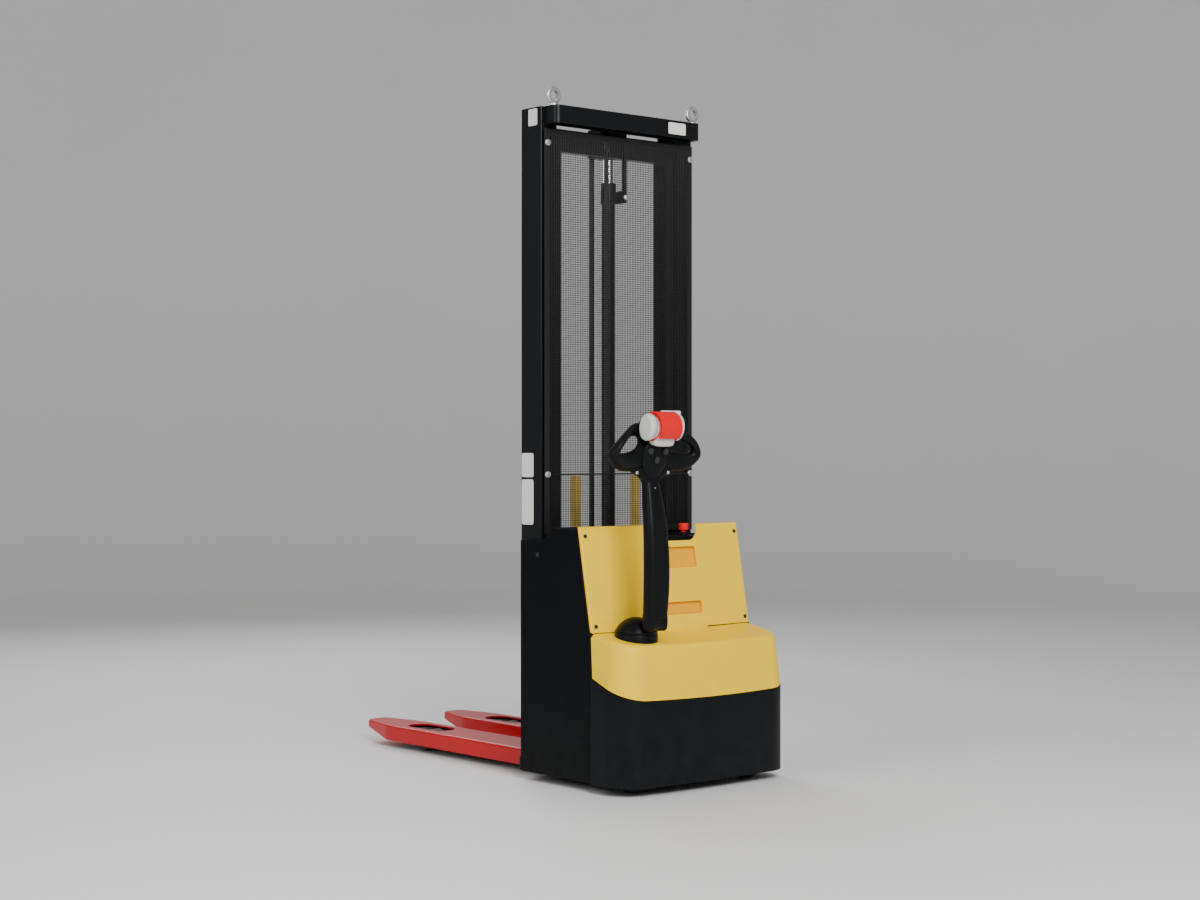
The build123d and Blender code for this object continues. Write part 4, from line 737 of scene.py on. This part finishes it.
def arm_cover():
    """Moulded cover over the arm: a superellipse whose place and half sizes follow the arm's sections, with
    the ends drawn in by a quarter circle and closed by poles."""
    quarter = np.linspace(0, np.pi / 2, 6)
    draw = ARM_END_DRAW + (1 - ARM_END_DRAW) * np.sin(quarter)
    draw = np.concatenate([[0.0], draw, np.ones(30), draw[::-1], [0.0]])[:, None]
    length = ARM_TOP - ARM_FOOT
    rise = ARM_END * (1 - np.cos(quarter))
    straight = np.linspace(ARM_STRAIGHT, length - ARM_STRAIGHT, 30)
    z = np.concatenate([[0.0], rise, straight, length - rise[::-1], [length]])[:, None] + ARM_FOOT
    across, deep = superellipse(turned(48)[None, :], arm_curve(ARM_HALF_WIDTH, z) * draw,
                                arm_curve(ARM_HALF_DEPTH, z) * draw, ARM_POWER)
    y = turret_y - arm_curve(ARM_BEHIND, z) - deep
    return grid(np.stack([turret_x + across, y, z + 0 * across], axis=-1), wrap_v=True)


cheek_places = [hinge + (side * CHEEK_X, 0.0, CHEEK_UP) for side in (-1, 1)]
cheeks = [pillow(place, CHEEK_HALF, CHEEK_POWER, SIDE_AXES, rounds=40) for place in cheek_places]
make_piece("arm_cover", [arm_cover()] + cheeks, black_shell, "tiller_body", sharp=50.0)


# Chin under the drum, red rims by the knobs, screws of the head and arm

CHIN_PLACE = (0.0, 0.134, 0.039)
CHIN_HALF = (0.046, 0.021, 0.022)
KNOB_RIM_X = 0.049
KNOB_RIM_R = 0.0446
KNOB_RIM_BEAD = 0.0023
SCREW_V = 0.72
SCREW_ANGLE = 0.85
HEAD_SCREW = (0.0062, 0.0034)
ARM_SCREW = (0.0055, 0.0030)
ARM_SCREW_PLACE = (turret_x, -0.8392, 1.047)

drum_chin = pillow(head_points(*CHIN_PLACE), CHIN_HALF, 4.0, head_axes, rounds=40)
make_piece("drum_chin", [drum_chin], grey_knob, "tiller_body")

rim_axes = (up_dir, out_dir, across_dir)
knob_rims = [hoop(drum_place + side * KNOB_RIM_X * across_dir, KNOB_RIM_R, KNOB_RIM_BEAD, rim_axes)
             for side in (-1, 1)]
make_piece("knob_rims", knob_rims, red_cap, "tiller_body")


def domed_screw(place, axes, radius, height):
    """Low round screw head: a superellipsoid a little fuller than a ball, half of it sunk."""
    return pillow(place, (radius, radius, height), 2.6, axes, rounds=24, rows=13)


head_screws = [domed_screw(head_points(*scoop_points(SCREW_V, angle)), head_axes, *HEAD_SCREW)
               for angle in (SCREW_ANGLE, np.pi - SCREW_ANGLE)]
head_screws.append(domed_screw(ARM_SCREW_PLACE, head_axes, *ARM_SCREW))
make_piece("head_screws", head_screws, zinc, "tiller_body")


# Hood tongue: the hood flows into the lower cover under the recesses

COVER_SLOPE = 0.19
TONGUE_X = 0.0705
TONGUE_HALF = 0.112
TONGUE_UP = 0.046
TONGUE_OUT = 0.085
TONGUE_SUNK = 0.0015


def hood_back(x, z):
    """Y of the hood's back: its leaning edge line, less the side and an arc that bulges in the middle."""
    curve_r = (HOOD_HALF ** 2 + HOOD_BULGE ** 2) / (2 * HOOD_BULGE)
    arc = np.sqrt(curve_r ** 2 - (x - hood_mid_x) ** 2) - curve_r + HOOD_BULGE
    return HOOD_FOOT[0] + hood_lean * (z - HOOD_FOOT[1]) - HOOD_SIDE - arc


def cover_top(y):
    """Height of the lower cover's sloping top."""
    return HOOD_FOOT[1] + COVER_SLOPE * (y - HOOD_FOOT[0])


def seam_line(x):
    """Y and height of the seam between hood and cover at x, where the hood's back meets the cover's top."""
    y = hood_back(x, cover_top(hood_back(x, HOOD_FOOT[1])))
    return y, cover_top(y)


def tongue():
    """Concave sweep, for each x a quadratic curve from a point up the hood's back, drawn towards the seam, to
    a point out on the cover's top. Both points close in on the seam at the sides, and the underside is
    sunk."""
    across = np.sin(np.linspace(-1, 1, 61)[:, None] * np.pi / 2)
    x = TONGUE_X + TONGUE_HALF * across
    share = (1 - across ** 2) ** 0.75
    seam_y, seam_z = seam_line(x)
    up_z = seam_z + TONGUE_UP * share
    up_y = seam_y + hood_lean * TONGUE_UP * share
    out_y = seam_y - TONGUE_OUT * share
    out_z = cover_top(out_y)
    s = np.linspace(0, 1, 24)[None, :]
    top_y = (1 - s) ** 2 * up_y + 2 * s * (1 - s) * seam_y + s ** 2 * out_y
    top_z = (1 - s) ** 2 * up_z + 2 * s * (1 - s) * seam_z + s ** 2 * out_z
    sunk = TONGUE_SUNK * share
    y = np.hstack([top_y, out_y, seam_y + sunk, up_y + sunk])
    z = np.hstack([top_z, out_z - sunk, seam_z - sunk, up_z])
    return grid(np.stack([x + 0 * y, y, z], axis=-1)[::-1], wrap_v=True)


make_piece("hood_tongue", [tongue()], yellow_shell, "chassis", sharp=40.0)


# Dark strips and corner blocks in the seam beside the tongue: painted shadow, black pieces that stand for the
# shadow in the seam

SEAM_SIDE = 0.006
STRIP_REACH = 0.97 * TONGUE_HALF
LEFT_STRIP_R = (0.0018, 0.0018)
RIGHT_STRIP_R = (0.0032, 0.0016)
CORNER_HALF = (0.0095, 0.005, 0.008)
CORNER_POWER = 5.0
CORNER_IN = 0.008
CORNER_FRONT = 0.007
CORNER_DOWN = 0.004


def seam_strip(start_x, end_x, start_r, end_r):
    """Dark strip in the seam between hood and cover, painted shadow of the seam: a circle, whose radius goes
    evenly from one end to the other, carried along the seam, with a pole at each end."""
    x = np.linspace(start_x, end_x, 40)[:, None]
    y = seam_line(x)[0]
    radius = start_r + (end_r - start_r) * (x - start_x) / (end_x - start_x)
    radius[[0, -1]] = 0.0
    x[0], y[0] = x[1], y[1]
    x[-1], y[-1] = x[-2], y[-2]
    section = turned(12)[None, :]
    points = np.stack([x + 0 * section, y - radius * np.cos(section),
                       cover_top(y) + radius * np.sin(section)], axis=-1)
    return grid(points, wrap_v=True)


def seam_shadow_block(x):
    """Small dark block behind the hood's foot at one end of the seam, painted shadow at the seam's end."""
    y, z = seam_line(x)
    return pillow((x, y + CORNER_FRONT, z - CORNER_DOWN), CORNER_HALF, CORNER_POWER)


# Painted shadow: black strips and blocks darken the seam between hood and cover.
seam_shadow_pieces = [
    seam_strip(hood_low.x + SEAM_SIDE, TONGUE_X - STRIP_REACH, *LEFT_STRIP_R),
    seam_strip(TONGUE_X + STRIP_REACH, hood_high.x - SEAM_SIDE, *RIGHT_STRIP_R),
    seam_shadow_block(hood_low.x + CORNER_IN),
    seam_shadow_block(hood_high.x - CORNER_IN),
]
make_piece("hood_seam_strips", seam_shadow_pieces, black_shell, "chassis")


# Boot round the turret's pad, and the collar under the emergency stop

PAD_R = 0.0664
BOOT_R = 0.0752
BOOT_GAP = 0.0006
BOOT_SUNK = 0.002
BOOT_EDGE = (0.0008, 0.0024)
DOME_FOOT = 0.5463
STOP_HEAD = 0.024
STOP_STEM_R = 0.009
STOP_GAP = 0.001
COLLAR_SEAT = 0.0005
stop_low, stop_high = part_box("emergency_stop")


def turret_boot():
    """Ring turned about the turret's axis whose foot is sunk in the sloping cover and whose top is level
    under the dome."""
    angle = turned(72)[:, None]
    radius = np.array([PAD_R, BOOT_R, BOOT_R, BOOT_R - BOOT_EDGE[0], BOOT_R - BOOT_EDGE[1], PAD_R])[None, :]
    share = np.array([0.0, 0.0, 0.90, 0.97, 1.0, 1.0])[None, :]
    y = turret_y + radius * np.sin(angle)
    foot = cover_top(y) - BOOT_SUNK
    z = foot + share * (DOME_FOOT - BOOT_GAP - foot)
    return grid(np.stack([turret_x + radius * np.cos(angle), y, z], axis=-1), wrap_u=True, wrap_v=True)


def stop_collar():
    """Collar turned about the stop's axis: an upright inside clear of the stem, a rounded top and a flared
    foot."""
    top = stop_high.z - STOP_HEAD - joints["emergency_stop_push"]["range_m"][1] - STOP_GAP - stop_low.z
    radius = STOP_STEM_R + np.array([0.0008, 0.0110, 0.0100, 0.0062, 0.0056, 0.0044, 0.0008])[None, :]
    height = np.array([0.0, 0.0, 0.004, 0.009, 0.98 * top, top, top])[None, :]
    angle = turned(48)[:, None]
    points = np.stack([(stop_low.x + stop_high.x) / 2 + radius * np.cos(angle),
                       (stop_low.y + stop_high.y) / 2 + radius * np.sin(angle),
                       stop_low.z + COLLAR_SEAT + height + 0 * angle], axis=-1)
    return grid(points, wrap_u=True, wrap_v=True)


make_piece("turret_boot", [turret_boot()], black_shell, "chassis")
make_piece("stop_collar", [stop_collar()], black_shell, "chassis")


# Blank plates and small screws

PLATE = 0.0008
PLATE_POWER = 12.0
SIDE_PLATES = [((-0.316, -0.249), (1.082, 1.168)), ((-0.316, -0.249), (0.912, 1.074)),
               ((-0.337, -0.287), (2.336, 2.396))]
BEAM_PLATE = ((0.214, 0.300), (2.349, 2.392))
GUARD_PLATE = ((0.224, 0.326), (1.296, 1.326))
REAR_AXES = ((1, 0, 0), (0, 0, 1), (0, -1, 0))
STRAP_X = 0.058
STRAP_BOLT_UP = 0.020
STRAP_BOLT = (0.010, 0.007)
PANEL_SCREW_PLACE = (-0.360, 0.808)
PANEL_SCREW = (0.0075, 0.0035)
upright_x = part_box("outer_upright_left")[0].x
beam_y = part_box("top_crossbeam")[0].y


def side_plate(y, z):
    """Thin rounded plate on the outer face of the left upright, between two values of y and of z."""
    half = (PLATE, np.ptp(y) / 2, np.ptp(z) / 2)
    return pillow((upright_x, np.mean(y), np.mean(z)), half, PLATE_POWER, rounds=40)


def rear_plate(x, z, y):
    """Thin rounded plate that faces the driver, between two values of x and of z."""
    half = (np.ptp(x) / 2, PLATE, np.ptp(z) / 2)
    return pillow((np.mean(x), y, np.mean(z)), half, PLATE_POWER, rounds=40)


plates = [side_plate(*plate) for plate in SIDE_PLATES]
plates += [rear_plate(*BEAM_PLATE, beam_y), rear_plate(*GUARD_PLATE, guard_low.y - PLATE)]
make_piece("blank_plates", plates, blank_plate, "chassis")

clamp_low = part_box("cylinder_clamp")[0]
clamp_bolt = domed_screw((STRAP_X, clamp_low.y, clamp_low.z + STRAP_BOLT_UP), REAR_AXES, *STRAP_BOLT)
make_piece("clamp_bolt", [clamp_bolt], zinc, "chassis")

panel_sides = (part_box("side_panel_left")[0].x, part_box("side_panel_right")[1].x)
panel_screws = [domed_screw((x, *PANEL_SCREW_PLACE), SIDE_AXES, *PANEL_SCREW) for x in panel_sides]
make_piece("panel_screws", panel_screws, dark_steel, "chassis")


# Stage: a pale floor that sweeps up all round, soft lights and the camera

FLOOR_FLAT_R = 9.0
FLOOR_BEND_R = 3.0
FLOOR_WALL = 7.0
FLOOR_TONES = ((0.78, 0.78, 0.78, 1), (0.82, 0.82, 0.82, 1))
WORLD_COLOUR = (1.0, 0.99, 0.97, 1.0)
WORLD_STRENGTH = 0.32
CAMERA_PLACE = (-4.9705, -6.128, 1.179)
CAMERA_FORWARD = (0.6481, 0.7615)
CAMERA_SENSOR = 36.0
CAMERA_LENS = 62.5


def sweep_floor(flat_r, bend_r, wall_height):
    """Floor turned about Z: flat out to flat_r, a quarter circle up by bend_r, then a straight wall."""
    bend = np.linspace(0, np.pi / 2, 24)
    radius = np.concatenate([[0.0, flat_r / 2], flat_r + bend_r * np.sin(bend), [flat_r + bend_r]])
    height = np.concatenate([[0.0, 0.0], bend_r * (1 - np.cos(bend)), [bend_r + wall_height]])
    angle = turned(96)
    points = np.stack([radius[:, None] * np.cos(angle), radius[:, None] * np.sin(angle),
                       height[:, None] + 0 * angle], axis=-1)
    return grid(points, wrap_v=True)


def soft_light(name, place, target, size, power):
    """Square area light at place that faces target."""
    lamp = bpy.data.lights.new(name, "AREA")
    lamp.size = size
    lamp.energy = power
    holder = bpy.data.objects.new(name, lamp)
    holder.location = place
    holder.rotation_euler = (Vector(target) - Vector(place)).to_track_quat("-Z", "Y").to_euler()
    bpy.context.scene.collection.objects.link(holder)


floor_finish = Finish("pale_floor", Roughness=0.6)
floor_finish.feed("Base Color", floor_finish.mix(floor_finish.noise(1.5, 2.0), *FLOOR_TONES))
floor_mesh = bpy.data.meshes.new("floor")
floor_corners, floor_quads = sweep_floor(FLOOR_FLAT_R, FLOOR_BEND_R, FLOOR_WALL)
floor_mesh.from_pydata(floor_corners, [], floor_quads)
floor_mesh.shade_smooth()
floor_mesh.materials.append(floor_finish.material)
floor = bpy.data.objects.new("floor", floor_mesh)
bpy.context.scene.collection.objects.link(floor)

soft_light("key_light", (-2.2, -6.2, 4.4), (0.0, -0.5, 0.9), 3.4, 500.0)
soft_light("side_light", (-5.6, -0.6, 3.2), (0.0, -0.3, 0.9), 3.0, 110.0)
soft_light("back_light", (1.5, 4.6, 4.2), (0.0, -0.2, 1.4), 3.0, 150.0)

world = bpy.data.worlds.new("studio")
world.use_nodes = True
world.node_tree.nodes["Background"].inputs["Color"].default_value = WORLD_COLOUR
world.node_tree.nodes["Background"].inputs["Strength"].default_value = WORLD_STRENGTH
bpy.context.scene.world = world

camera_data = bpy.data.cameras.new("camera")
camera_data.sensor_width = CAMERA_SENSOR
camera_data.lens = CAMERA_LENS
camera = bpy.data.objects.new("camera", camera_data)
camera.location = CAMERA_PLACE
camera.rotation_euler = (np.pi / 2, 0.0, -np.arctan2(*CAMERA_FORWARD))
bpy.context.scene.collection.objects.link(camera)
bpy.context.scene.camera = camera
